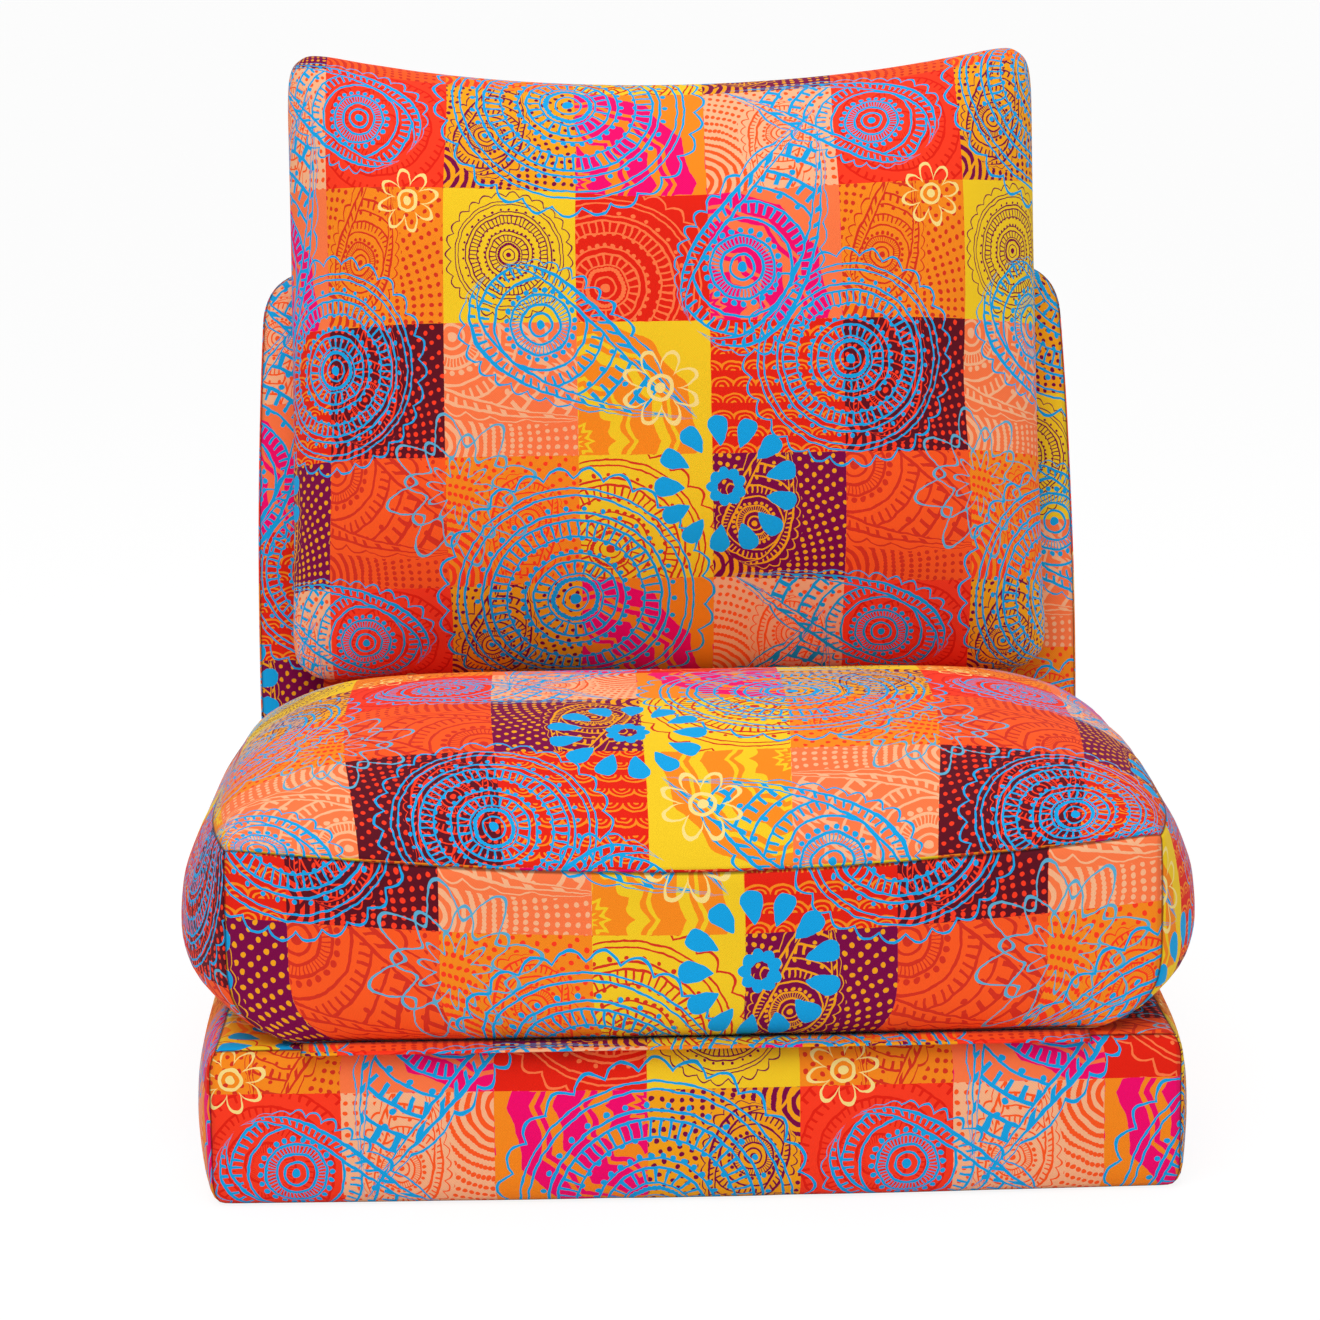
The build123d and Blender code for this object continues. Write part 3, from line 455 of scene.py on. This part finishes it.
def stuff(piece, pressure, seam_take_up, cap, behind):
    """Fills a sewn skin: cloth under pressure whose seams are taken up, moved by no more than cap. It stays
    behind planes, each given as a direction and how far out along it the plane lies."""
    frames = 20
    start = np.empty(len(piece.data.vertices) * 3)
    piece.data.vertices.foreach_get("co", start)
    start = start.reshape(-1, 3)
    cloth_modifier = piece.modifiers.new("cloth", "CLOTH")
    settings = cloth_modifier.settings
    settings.quality = 6
    settings.mass = 0.25
    settings.tension_stiffness = 25
    settings.compression_stiffness = 25
    settings.shear_stiffness = 6
    settings.bending_stiffness = 1.5
    settings.use_pressure = True
    settings.uniform_pressure_force = pressure
    settings.effector_weights.gravity = 0
    settings.vertex_group_shrink = "seam"
    settings.shrink_min = 0.0
    settings.shrink_max = seam_take_up
    cloth_modifier.collision_settings.use_collision = False
    cloth_modifier.point_cache.frame_end = frames
    for number_of_frame in range(1, frames + 1):
        bpy.context.scene.frame_set(number_of_frame)
    settled = piece.evaluated_get(bpy.context.evaluated_depsgraph_get())
    end = np.empty(len(piece.data.vertices) * 3)
    settled.data.vertices.foreach_get("co", end)
    end = end.reshape(-1, 3)
    move = end - start
    move -= move.mean(axis=0)
    length = np.linalg.norm(move, axis=1, keepdims=True)
    move *= np.tanh(length / cap) * cap / np.maximum(length, 1e-9)
    piece.modifiers.remove(cloth_modifier)
    settled_points = start + move
    for direction, reach_out in behind:
        direction = np.array(direction)
        beyond = np.maximum(settled_points @ direction - reach_out, 0)
        settled_points -= beyond[:, None] * direction
    piece.data.vertices.foreach_set("co", settled_points.ravel())
    piece.data.update()
    bpy.context.scene.frame_set(1)
    finer = piece.modifiers.new("finer", "SUBSURF")
    finer.levels = finer.render_levels = 1
    finer.uv_smooth = "NONE"
    dressed = piece.evaluated_get(bpy.context.evaluated_depsgraph_get())
    mesh = bpy.data.meshes.new_from_object(dressed)
    piece.modifiers.remove(finer)
    piece.data = mesh
    piece.data.materials.clear()
    piece.data.materials.append(printed)


half_length, base_half_width, base_height = 320.0, 380.0, 127.0
base_side_bulge, base_front_bulge, base_edge_radius = 22.0, 12.0, 5.0
base_levels = spread(11, 0, 1)
base_bulge_shares = ((0, 0.6), (0.15, 0.9), (0.35, 1.05), (0.6, 0.97), (0.8, 0.65), (1, -0.12))
across_stations = spread(62)
along_stations = spread(54)


def base_point(across_share, along_share, level):
    """A place on the base's skin from its shares of width, length and height."""
    share = blend_of(base_bulge_shares, level)
    width = base_half_width + base_side_bulge * share * (1 - along_share ** 4)
    front = base_front_bulge * max(share, 0) * (1 - across_share ** 2) if along_share < 0 else 0
    round_off = base_edge_radius * (max(0, 0.06 - level) + max(0, level - 0.94)) / 0.06
    return (across_share * (width - round_off), along_share * (half_length - round_off) + along_share * front,
            level * base_height)


def side_grids(point, levels):
    """The front, right, rear and left strips of a boxed cover, each seen from outside, from its foot up."""
    front = [[point(a, -1, h) for a in across_stations] for h in levels]
    right = [[point(1, b, h) for b in along_stations] for h in levels]
    rear = [[point(-a, 1, h) for a in across_stations] for h in levels]
    left = [[point(-1, -b, h) for b in along_stations] for h in levels]
    return front, right, rear, left


base_front, base_right, base_rear, base_left = side_grids(base_point, base_levels)
base_top = [[base_point(a, b, 1) for a in across_stations] for b in along_stations]
base_bottom = [[base_point(-a, b, 0) for a in across_stations] for b in along_stations]
# each panel with the place where the print falls on it, in metres
base_cushion = sew("base_cushion", [
    (base_front, measured(base_front, (0.08, 0.095), flip=True)),
    (base_right, measured(base_right, (0.22, 0.095), flip=True)),
    (base_rear, measured(base_rear, (0.31, 0.095), flip=True)),
    (base_left, measured(base_left, (0.05, 0.095), flip=True)),
    (base_top, measured(base_top, (0.08, 0.2))), (base_bottom, measured(base_bottom, (0.08, 0.3)))])
# it stays clear of its zip, of the seat's front once folded out, of the seat above and of the floor
stuff(base_cushion, 2.0, 0.005, 4 * MM,
      [((0, 1, 0), 0.3199), ((0, -1, 0), 0.3278), ((0, 0, 1), 0.127), ((0, 0, -1), 0)])
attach(base_cushion, "base")
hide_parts("base_cover", "base_foam")

# Front hinge strip: the covers' own printed fabric, folded lengthwise and sewn into the seat's lower
# front seam and the base's upper one. Its fold is the axis about which the base turns out.
tape_half_length, tape_thickness = 304.0, 0.6
tape_profile = ((-311.0, 130.2), (-316.0, 129.4), (-322.0, 128.6), (-326.0, 128.2), (-329.5, 127.8), (-331.2, 127.5),
                (-331.8, 127.0), (-331.2, 126.5), (-329.5, 126.2), (-326.0, 125.8), (-322.0, 125.4), (-316.0, 124.6),
                (-311.0, 123.8))
tape_grid = [[(x, y, z) for x in spread(60, -tape_half_length, tape_half_length)] for y, z in tape_profile]
hinge_tape = sew("front_hinge_strip", [(tape_grid, measured(tape_grid, (0.2, 0.136), flip=True))])
thick = hinge_tape.modifiers.new("thick", "SOLIDIFY")
thick.thickness = tape_thickness * MM
thick.offset = 0
hinge_tape.data = bpy.data.meshes.new_from_object(hinge_tape.evaluated_get(bpy.context.evaluated_depsgraph_get()))
hinge_tape.modifiers.clear()
hinge_tape.data.materials.append(printed)
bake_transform(hinge_tape)
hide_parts("front_hinge_tape")

# Seat mattress: two foams that hold the steel frame, with a fibre topper under a boxed cover. The
# topper makes the crown, and the side strips puff out over the base.
seat_foot_half_width, seat_flare, seat_side_bulge, seat_front_bulge = 320.0, 47.0, 53.0, 21.0
seat_foot, seam_height, seam_front_dip, seam_rear_fall = 127.3, 284.0, 22.0, 34.0
crest_front, crest_rear_fall, crest_rise, crest_reach = 322.0, 70.0, 220.0, 340.0
flat_across, flat_front, flat_rear = 0.42, 0.54, 0.85
# at each share of the walls' height: the share of the side bulge and of the flare
seat_shares = ((0, 0.3, 0), (0.05, 0.55, 0.4), (0.1, 0.74, 0.64), (0.2, 0.94, 0.9), (0.33, 1, 1), (0.47, 1, 1),
               (0.65, 0.93, 1), (0.85, 0.7, 0.99), (1, 0.42, 0.98))
seat_bulges = [(row[0], row[1]) for row in seat_shares]
seat_widths = [(row[0], row[2]) for row in seat_shares]
seat_levels = spread(14, 0, 1)


def seat_point(across_share, along_share, level):
    """A place on the seat's walls; the top seam stands highest at the front corners."""
    spread_share = blend_of(seat_widths, level)
    width = seat_foot_half_width + seat_flare * spread_share
    width += seat_side_bulge * blend_of(seat_bulges, level) * (1 - along_share ** 4)
    front = seat_front_bulge * spread_share * (1 - across_share ** 2) if along_share < 0 else 0
    rearward = (along_share + 1) / 2
    seam = seam_height - seam_front_dip * (1 - across_share ** 2) * (1 - rearward) - seam_rear_fall * rearward
    return (across_share * width, along_share * (half_length + front), seat_foot + (seam - seat_foot) * level)


def dome(share, flat_part):
    """A crown's height share at a share of the way out from its middle."""
    out = max(0, abs(share) - flat_part) / (1 - flat_part)
    return math.sqrt(max(0, 1 - out * out))


seat_front, seat_right, seat_rear, seat_left = side_grids(seat_point, seat_levels)
seat_top = []
for b in along_stations:
    seat_top.append([])
    for a in across_stations:
        x, y, z = seat_point(a, b, 1)
        rearward = (y + crest_reach) / (2 * crest_reach)
        crest = crest_front - crest_rear_fall * rearward + crest_rise * rearward * (1 - rearward)
        lift = max(0, crest - z) * dome(a, flat_across) * dome(b, flat_front if b < 0 else flat_rear)
        seat_top[-1].append((x, y, z + lift))
seat_bottom = [[seat_point(-a, b, 0) for a in across_stations] for b in along_stations]
seat_cushion = sew("seat_cushion", [
    (seat_front, measured(seat_front, (0.2, 0.143))), (seat_right, measured(seat_right, (0.05, 0.143))),
    (seat_rear, measured(seat_rear, (0.35, 0.143))), (seat_left, measured(seat_left, (0.12, 0.143))),
    (seat_top, measured(seat_top, (0.2, 0.36), flip=True)), (seat_bottom, measured(seat_bottom, (0.1, 0.1)))])
pivot = Vector((0, 382, 187))
lean = math.radians(15)
back_up = Vector((0, math.sin(lean), math.cos(lean)))
back_normal = Vector((0, -math.cos(lean), math.sin(lean)))


def plane(direction, from_pivot):
    """A plane square to a direction, at a distance from the hinge pivot in mm."""
    return tuple(direction), (direction.dot(pivot) + from_pivot) * MM


def slit(piece, centre, half_width, outline):
    """Cuts a slit into a filled skin, where a hinge goes in: an outline of (y, z) in mm."""
    shape = bmesh.new()
    rings = [[shape.verts.new((x * MM, y * MM, z * MM)) for y, z in outline]
             for x in (centre - half_width, centre + half_width)]
    shape.faces.new(rings[0])
    shape.faces.new(rings[1])
    for k in range(len(outline)):
        shape.faces.new((rings[0][k - 1], rings[0][k], rings[1][k], rings[1][k - 1]))
    bmesh.ops.recalc_face_normals(shape, faces=shape.faces)
    mesh = bpy.data.meshes.new("slit")
    shape.to_mesh(mesh)
    shape.free()
    cutter = put("slit", mesh)
    # the slit's walls carry no seam coordinates, so the seam's painted shade makes them dark
    cut = piece.modifiers.new("slit", "BOOLEAN")
    cut.object = cutter
    cut.solver = "EXACT"
    opened = bpy.data.meshes.new_from_object(piece.evaluated_get(bpy.context.evaluated_depsgraph_get()))
    piece.modifiers.remove(cut)
    piece.data = opened
    bpy.data.objects.remove(cutter)


# it stays clear of its zip, of the base's front once folded out, of the base below and of the pillow
stuff(seat_cushion, 5.0, 0.008, 10 * MM,
      [((0, 1, 0), 0.3199), ((0, -1, 0), 0.3348), ((0, 0, -1), -0.1273), plane(back_up, 64.0)])
hinge_spacing, slit_half_width = 296.0, 10.5
for side in (-1, 1):
    slit(seat_cushion, side * hinge_spacing, slit_half_width, [(274, 172), (335, 172), (335, 202), (274, 202)])
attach(seat_cushion, "seat")
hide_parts("seat_cover", "seat_foam_lower", "seat_foam_upper", "seat_fibre_topper")

# Back: a frame between two foams in a boxed cover whose long panel runs up the front, over the top
# and down behind, round the rounded foot, between two side gussets.
back_half_depth, back_front_swell, back_length, top_radius, top_swell = 60, 7, 462, 30, 1.5
back_foot_half_width, back_taper, back_side_bulge, shoulder = 380, 8, 5, 48


def back_outline():
    """The side view from the foot's lowest point, up the front and over the top to the rear and back."""
    half_rise = (back_length - top_radius) / 2
    quarter = math.pi / 2
    front_half = [(back_half_depth * math.sin(t), -back_half_depth * math.cos(t)) for t in spread(7, 0, quarter)]
    front_half += [(back_half_depth + back_front_swell * (1 - s * s), half_rise + half_rise * s)
                   for s in spread(34)][1:]
    front_half += [(top_radius + top_radius * math.cos(t), 2 * half_rise + top_radius * math.sin(t))
                   for t in spread(5, 0, quarter)][1:]
    front_half += [(top_radius - top_radius * s, back_length + top_swell * s) for s in spread(3, 0, 1)][1:]
    rear_half = [(-min(depth, back_half_depth), rise) for depth, rise in front_half]
    return front_half, rear_half


def back_place(depth, rise, across_share):
    """A place on the back's skin from its depth and rise in the side view and its share of width."""
    share = min(max(rise / back_length, 0), 1)
    width = back_foot_half_width - back_taper * share + back_side_bulge * 4 * share * (1 - share)
    over = max(0, rise - (back_length - shoulder)) / shoulder
    width -= shoulder * (1 - math.sqrt(max(0, 1 - min(over, 1) ** 2)))
    place_found = pivot + back_normal * depth + back_up * rise
    return (across_share * width, place_found.y, place_found.z)


front_half, rear_half = back_outline()
back_front_grid = [[back_place(d, h, a) for a in across_stations] for d, h in front_half]
back_rear_grid = [[back_place(d, h, -a) for a in across_stations] for d, h in rear_half]
gusset_right, gusset_left = [], []
for (front_depth, rise), (rear_depth, _) in zip(front_half, rear_half):
    shares = spread(10, 0, 1)
    gusset_right.append([back_place(front_depth + (rear_depth - front_depth) * s, rise, 1) for s in shares])
    gusset_left.append([back_place(rear_depth + (front_depth - rear_depth) * s, rise, -1) for s in shares])
back_cushion = sew("back_cushion", [
    (back_front_grid, measured(back_front_grid, (0.2, 0.05))),
    (back_rear_grid, measured(back_rear_grid, (0.33, 0.4))),
    (gusset_right, measured(gusset_right, (0.02, 0.25))), (gusset_left, measured(gusset_left, (0.3, 0.25)))])
# it stays clear of its zip, of the pillow and of the seat's rear, and its foot stays above the base
stuff(back_cushion, 2.0, 0.005, 4 * MM,
      [plane(-back_normal, 59.9), plane(back_normal, 67.3), ((0, -1, 0), -0.3215), ((0, 0, -1), -0.1273)])
# the hollow round the hinge's cheeks, open at the foot's front
sector_reach = 51
hollow = [(65, 15), (65, -65), (-15, -65)]
hollow += [(sector_reach * math.cos(t), sector_reach * math.sin(t)) for t in spread(12, 4.41, 0.3)]
hollow = [pivot + back_normal * depth + back_up * rise for depth, rise in hollow]
for side in (-1, 1):
    slit(back_cushion, side * hinge_spacing, slit_half_width, [(place.y, place.z) for place in hollow])
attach(back_cushion, "back")
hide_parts("back_cover", "back_foam_front", "back_foam_rear")

# Pillow: fibre filling in a cover of two panels, sewn all round with no side strip, so its corners
# stand up as ears, its top edge dips and its front is the fuller side.
pillow_half_width, pillow_waist, pillow_top, pillow_dip, pillow_foot = 352, 2, 308, 33, 285
pillow_front_depth, pillow_rear_depth, corner_draw_in = 92, 44, 0.042
pillow_rise, stand_off = 349.5, 0.6
pillow_stations = [math.sin(math.pi / 2 * s) for s in spread(60)]
pillow_rows = [math.sin(math.pi / 2 * s) for s in spread(50)]
pillow_from_pivot = back_half_depth + back_front_swell + stand_off + pillow_rear_depth
pillow_middle = pivot + back_up * pillow_rise + back_normal * pillow_from_pivot


def pillow_place(across_share, up_share, side):
    """A place on the pillow's skin; side is 1 on the front panel and -1 on the rear one."""
    level_across, level_up, depth = (0.43, 0.34, pillow_front_depth) if side > 0 else (0.72, 0.67, pillow_rear_depth)
    depth = depth * dome(across_share, level_across) * dome(up_share, level_up)
    rounding = 1 - corner_draw_in * abs(across_share * up_share) ** 20
    width = rounding * (pillow_half_width - pillow_waist * (1 - up_share ** 2))
    height = rounding * (pillow_top - pillow_dip * (1 - across_share ** 2) if up_share > 0 else pillow_foot)
    found = pillow_middle + back_up * (up_share * height) + back_normal * (side * depth)
    return (across_share * width, found.y, found.z)


pillow_front = [[pillow_place(a, b, 1) for a in pillow_stations] for b in pillow_rows]
pillow_rear = [[pillow_place(-a, b, -1) for a in pillow_stations] for b in pillow_rows]
pillow = sew("back_pillow", [
    (pillow_front, measured(pillow_front, (0.2, 0.0))), (pillow_rear, measured(pillow_rear, (0.1, 0.2)))])
# it lies against the back and stands on the seat
stuff(pillow, 4.0, 0.01, 10 * MM, [plane(-back_normal, -67.6), plane(-back_up, -64.8)])
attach(pillow, "pillow")
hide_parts("pillow_cover", "pillow_filling")

# Tube frames in seat and back: bent from 22 mm steel tube, welded, and powder-coated black. The baked
# powder leaves a satin skin with a slight orange peel.
powder_coat, tree, shader = new_finish("powder-coated steel tube")
in_place = node(tree, "TexCoord").outputs["Object"]
peel = node(tree, "TexNoise", in_place, None, 1 / (3.0 * MM), 2.0)
dust = node(tree, "MapRange", node(tree, "TexNoise", in_place, None, 1 / (60 * MM), 3.0), 0.45, 0.7, 0.0, 1.0)
tint = node(tree, "MixRGB", dust, linear("#17181A"), linear("#26272A"))
tree.links.new(tint.outputs[0], shader.inputs["Base Color"])
tree.links.new(node(tree, "MapRange", dust, 0.0, 1.0, 0.38, 0.52).outputs[0], shader.inputs["Roughness"])
peel_bump = node(tree, "Bump", 0.3, 0.0002)
tree.links.new(peel.outputs[0], peel_bump.inputs["Height"])
tree.links.new(peel_bump.outputs[0], shader.inputs["Normal"])


def dress(finish, *names):
    """Gives pieces that keep their solid's shape their finish."""
    for name in names:
        for place_for_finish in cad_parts[name].material_slots:
            place_for_finish.material = finish


dress(powder_coat, "seat_frame", "back_frame")

# Elastic webbing: rubber-cored straps, woven in black polyester with a paler line near each edge, laced
# over the frames and sewn round the tubes.
webbing, tree, shader = new_finish("woven elastic webbing")
in_place = node(tree, "TexCoord").outputs["Object"]
rib_pitch = 3.0 * MM  # the real ribs are 1 mm, drawn wider so that they show
ribs = node(tree, "SeparateXYZ", node(tree, "VectorMath:SCALE", in_place, None, None, math.tau / rib_pitch))
crossed = node(tree, "Math:MULTIPLY", node(tree, "Math:SINE", ribs.outputs[0]),
               node(tree, "Math:SINE", node(tree, "Math:ADD", ribs.outputs[1], ribs.outputs[2])))
# the colour is paler on the ribs and darker between them: painted shade, in step with their bump
tint = node(tree, "Math:MULTIPLY_ADD", crossed, 0.5, 0.5)
tint = node(tree, "MixRGB", tint, linear("#141416"), linear("#3A3A40"))
tree.links.new(tint.outputs[0], shader.inputs["Base Color"])
rib_bump = node(tree, "Bump", 0.6, 0.0004)
tree.links.new(crossed.outputs[0], rib_bump.inputs["Height"])
tree.links.new(rib_bump.outputs[0], shader.inputs["Normal"])
shader.inputs["Roughness"].default_value = 0.8
dress(webbing, "seat_webbing", "back_webbing")

# Ratchet hinges: stamped from 3 mm steel, zinc-plated and passivated, which leaves a pale yellow to
# bluish tint; the rivets and springs are plated alike.
zinc_plate, tree, shader = new_finish("zinc-plated stamped steel")
in_place = node(tree, "TexCoord").outputs["Object"]
cloudy = node(tree, "TexNoise", in_place, None, 1 / (14 * MM), 3.0)
cloudy = node(tree, "MapRange", cloudy, 0.35, 0.65, 0.0, 1.0)
tint = node(tree, "MixRGB", cloudy, linear("#CFC79B"), linear("#BFC3CC"))
tree.links.new(tint.outputs[0], shader.inputs["Base Color"])
grain = node(tree, "TexNoise", node(tree, "VectorMath:MULTIPLY", in_place, (1.0, 1.0, 12.0)), None, 1 / (4 * MM), 2.0)
tree.links.new(node(tree, "MapRange", grain, 0.3, 0.7, 0.26, 0.44).outputs[0], shader.inputs["Roughness"])
grain_bump = node(tree, "Bump", 0.2, 0.0001)
tree.links.new(grain.outputs[0], grain_bump.inputs["Height"])
tree.links.new(grain_bump.outputs[0], shader.inputs["Normal"])
shader.inputs["Metallic"].default_value = 1.0
dress(zinc_plate, "cheek_rivets", "back_frame_rivets", *(
    f"{part}_{hand}" for hand in ("left", "right")
    for part in ("hinge_cheeks", "ratchet_sector", "pawl", "pivot_rivet")))

# Pawl springs: torsion springs of 1.2 mm wire, wound round the front rivet of the cheeks. The leg rests
# on the pawl; the real leg bends as the pawl is lifted out of its notch, while this wire keeps one shape.
wire_radius, coil_radius, coil_half_length, coil_turns, steps_per_turn = 0.6, 3.7, 1.35, 3, 20
coil_middle, leg_end = Vector((0, 322, 193)), (343.0, 187.9)
for hand, side in (("left", -1), ("right", 1)):
    path = bpy.data.curves.new(f"spring_wire_{hand}", "CURVE")
    path.dimensions = "3D"
    path.bevel_depth = wire_radius * MM
    path.bevel_resolution = 3
    path.use_fill_caps = True
    wire = path.splines.new("POLY")
    turned = [math.tau * k / steps_per_turn for k in range(coil_turns * steps_per_turn + 1)]
    places_on_wire = [Vector((side * hinge_spacing - coil_half_length + 2 * coil_half_length * angle / turned[-1],
                              coil_middle.y - coil_radius * math.sin(angle),
                              coil_middle.z - coil_radius * math.cos(angle))) for angle in reversed(turned)]
    places_on_wire.append(Vector((places_on_wire[-1].x, *leg_end)))
    wire.points.add(len(places_on_wire) - 1)
    for point, place in zip(wire.points, places_on_wire):
        point.co = (*(place * MM), 1)
    former = put(f"spring_wire_{hand}", path)
    wound = bpy.data.meshes.new_from_object(former.evaluated_get(bpy.context.evaluated_depsgraph_get()))
    bpy.data.objects.remove(former)
    spring = put(f"torsion_spring_{hand}", wound)
    wound.materials.clear()
    wound.materials.append(zinc_plate)
    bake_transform(spring)
    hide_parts(f"pawl_spring_{hand}")

# Zips: nylon coil chain on woven polyester tape, dyed to go with the covers. Each is sewn into its
# cover on a side that doesn't show.
coil_zip, tree, shader = new_finish("nylon coil zip")
along_zip = node(tree, "SeparateXYZ", node(tree, "TexCoord").outputs["Object"]).outputs[0]
teeth = node(tree, "Math:SINE", node(tree, "Math:MULTIPLY", along_zip, math.tau / (2.0 * MM)))
# the colour is dark between the coil's turns and pale on them: painted shade, in step with the teeth's bump
tint = node(tree, "MixRGB", node(tree, "Math:MULTIPLY_ADD", teeth, 0.5, 0.5), linear("#8A2A10"), linear("#E0661F"))
tree.links.new(tint.outputs[0], shader.inputs["Base Color"])
teeth_bump = node(tree, "Bump", 0.6, 0.0005)
tree.links.new(teeth.outputs[0], teeth_bump.inputs["Height"])
tree.links.new(teeth_bump.outputs[0], shader.inputs["Normal"])
shader.inputs["Roughness"].default_value = 0.45
dress(coil_zip, "base_zip", "seat_zip", "back_zip", "pillow_zip")

# Zip sliders: die-cast zinc, tumbled and nickel-plated. They have no pull tabs and are threaded onto
# the coils.
cast_zinc, tree, shader = new_finish("die-cast zinc, tumbled")
speckle = node(tree, "TexNoise", node(tree, "TexCoord").outputs["Object"], None, 1 / (1.5 * MM), 2.0)
tree.links.new(node(tree, "MapRange", speckle, 0.3, 0.7, 0.3, 0.5).outputs[0], shader.inputs["Roughness"])
tint = node(tree, "MixRGB", speckle, linear("#A9A9A8"), linear("#C9C8C4"))
tree.links.new(tint.outputs[0], shader.inputs["Base Color"])
shader.inputs["Metallic"].default_value = 1.0
dress(cast_zinc, "base_zip_slider", "seat_zip_slider", "back_zip_slider", "pillow_zip_slider")

# Camera, light and floor: a product shot from the front with a long lens, a large soft box above and
# in front, a weaker one overhead, and a white sweep that keeps a faint shadow.
sensor_width, focal_pixels, photo_pixels = 36.0, 4000, 1320
camera_place = (-0.1, -3.271, 1.053)
yaw, pitch, roll = 0.0254, 0.2082, -0.011
camera_data = bpy.data.cameras.new("camera")
camera_data.sensor_width = sensor_width
camera_data.lens = sensor_width * focal_pixels / photo_pixels
camera = put("camera", camera_data)
forward = Vector((math.sin(yaw) * math.cos(pitch), math.cos(yaw) * math.cos(pitch), -math.sin(pitch)))
right = Vector((math.cos(yaw), -math.sin(yaw), 0))
upward = right.cross(forward)
axis_x = right * math.cos(roll) + upward * math.sin(roll)
axis_y = upward * math.cos(roll) - right * math.sin(roll)
camera.matrix_world = Matrix.Translation(camera_place) @ Matrix((axis_x, axis_y, -forward)).transposed().to_4x4()
bpy.context.scene.camera = camera

world = bpy.data.worlds.new("studio")
bpy.context.scene.world = world
world.use_nodes = True
tree = world.node_tree
background = tree.nodes["Background"]
seen = node(tree, "LightPath")
white_seen = node(tree, "Math:MAXIMUM", seen.outputs["Is Camera Ray"], seen.outputs["Is Glossy Ray"])
strength = node(tree, "Math:MULTIPLY_ADD", white_seen, 0.45, 0.55)
tree.links.new(strength.outputs[0], background.inputs["Strength"])
background.inputs["Color"].default_value = (1, 1, 1, 1)

for name, place, aim, size, power in (
        ("key_soft_box", (-0.6, -2.2, 2.9), (0, 0, 0.4), 2.4, 49.0),
        ("top_soft_box", (0.3, 0.6, 3.2), (0, 0.1, 0.3), 2.2, 22.0)):
    lamp_data = bpy.data.lights.new(name, "AREA")
    lamp_data.size = size
    lamp_data.energy = power
    lamp = put(name, lamp_data)
    lamp.location = place
    lamp.rotation_euler = (Vector(aim) - Vector(place)).to_track_quat("-Z", "Y").to_euler()

floor_mesh = bpy.data.meshes.new("floor")
floor_reach = 40.0
floor_corners = [(x * floor_reach, y * floor_reach, 0) for x, y in ((-1, -1), (1, -1), (1, 1), (-1, 1))]
floor_mesh.from_pydata(floor_corners, [], [(0, 1, 2, 3)])
floor = put("floor", floor_mesh)
sweep_paint, tree, shader = new_finish("matt white studio floor")
shader.inputs["Base Color"].default_value = linear("#F4F4F4")
shader.inputs["Roughness"].default_value = 0.9
glow = node(tree, "Emission", (1, 1, 1, 1), 1.07)
seen = node(tree, "LightPath")
lit_share = node(tree, "Math:MAXIMUM", seen.outputs["Is Camera Ray"], seen.outputs["Is Glossy Ray"])
lit_share = node(tree, "Math:MULTIPLY", lit_share, 0.82)
mixed = node(tree, "MixShader", lit_share, shader, glow)
tree.links.new(mixed.outputs[0], tree.nodes["Material Output"].inputs["Surface"])
floor_mesh.materials.append(sweep_paint)

bpy.context.scene.view_settings.view_transform = "Standard"
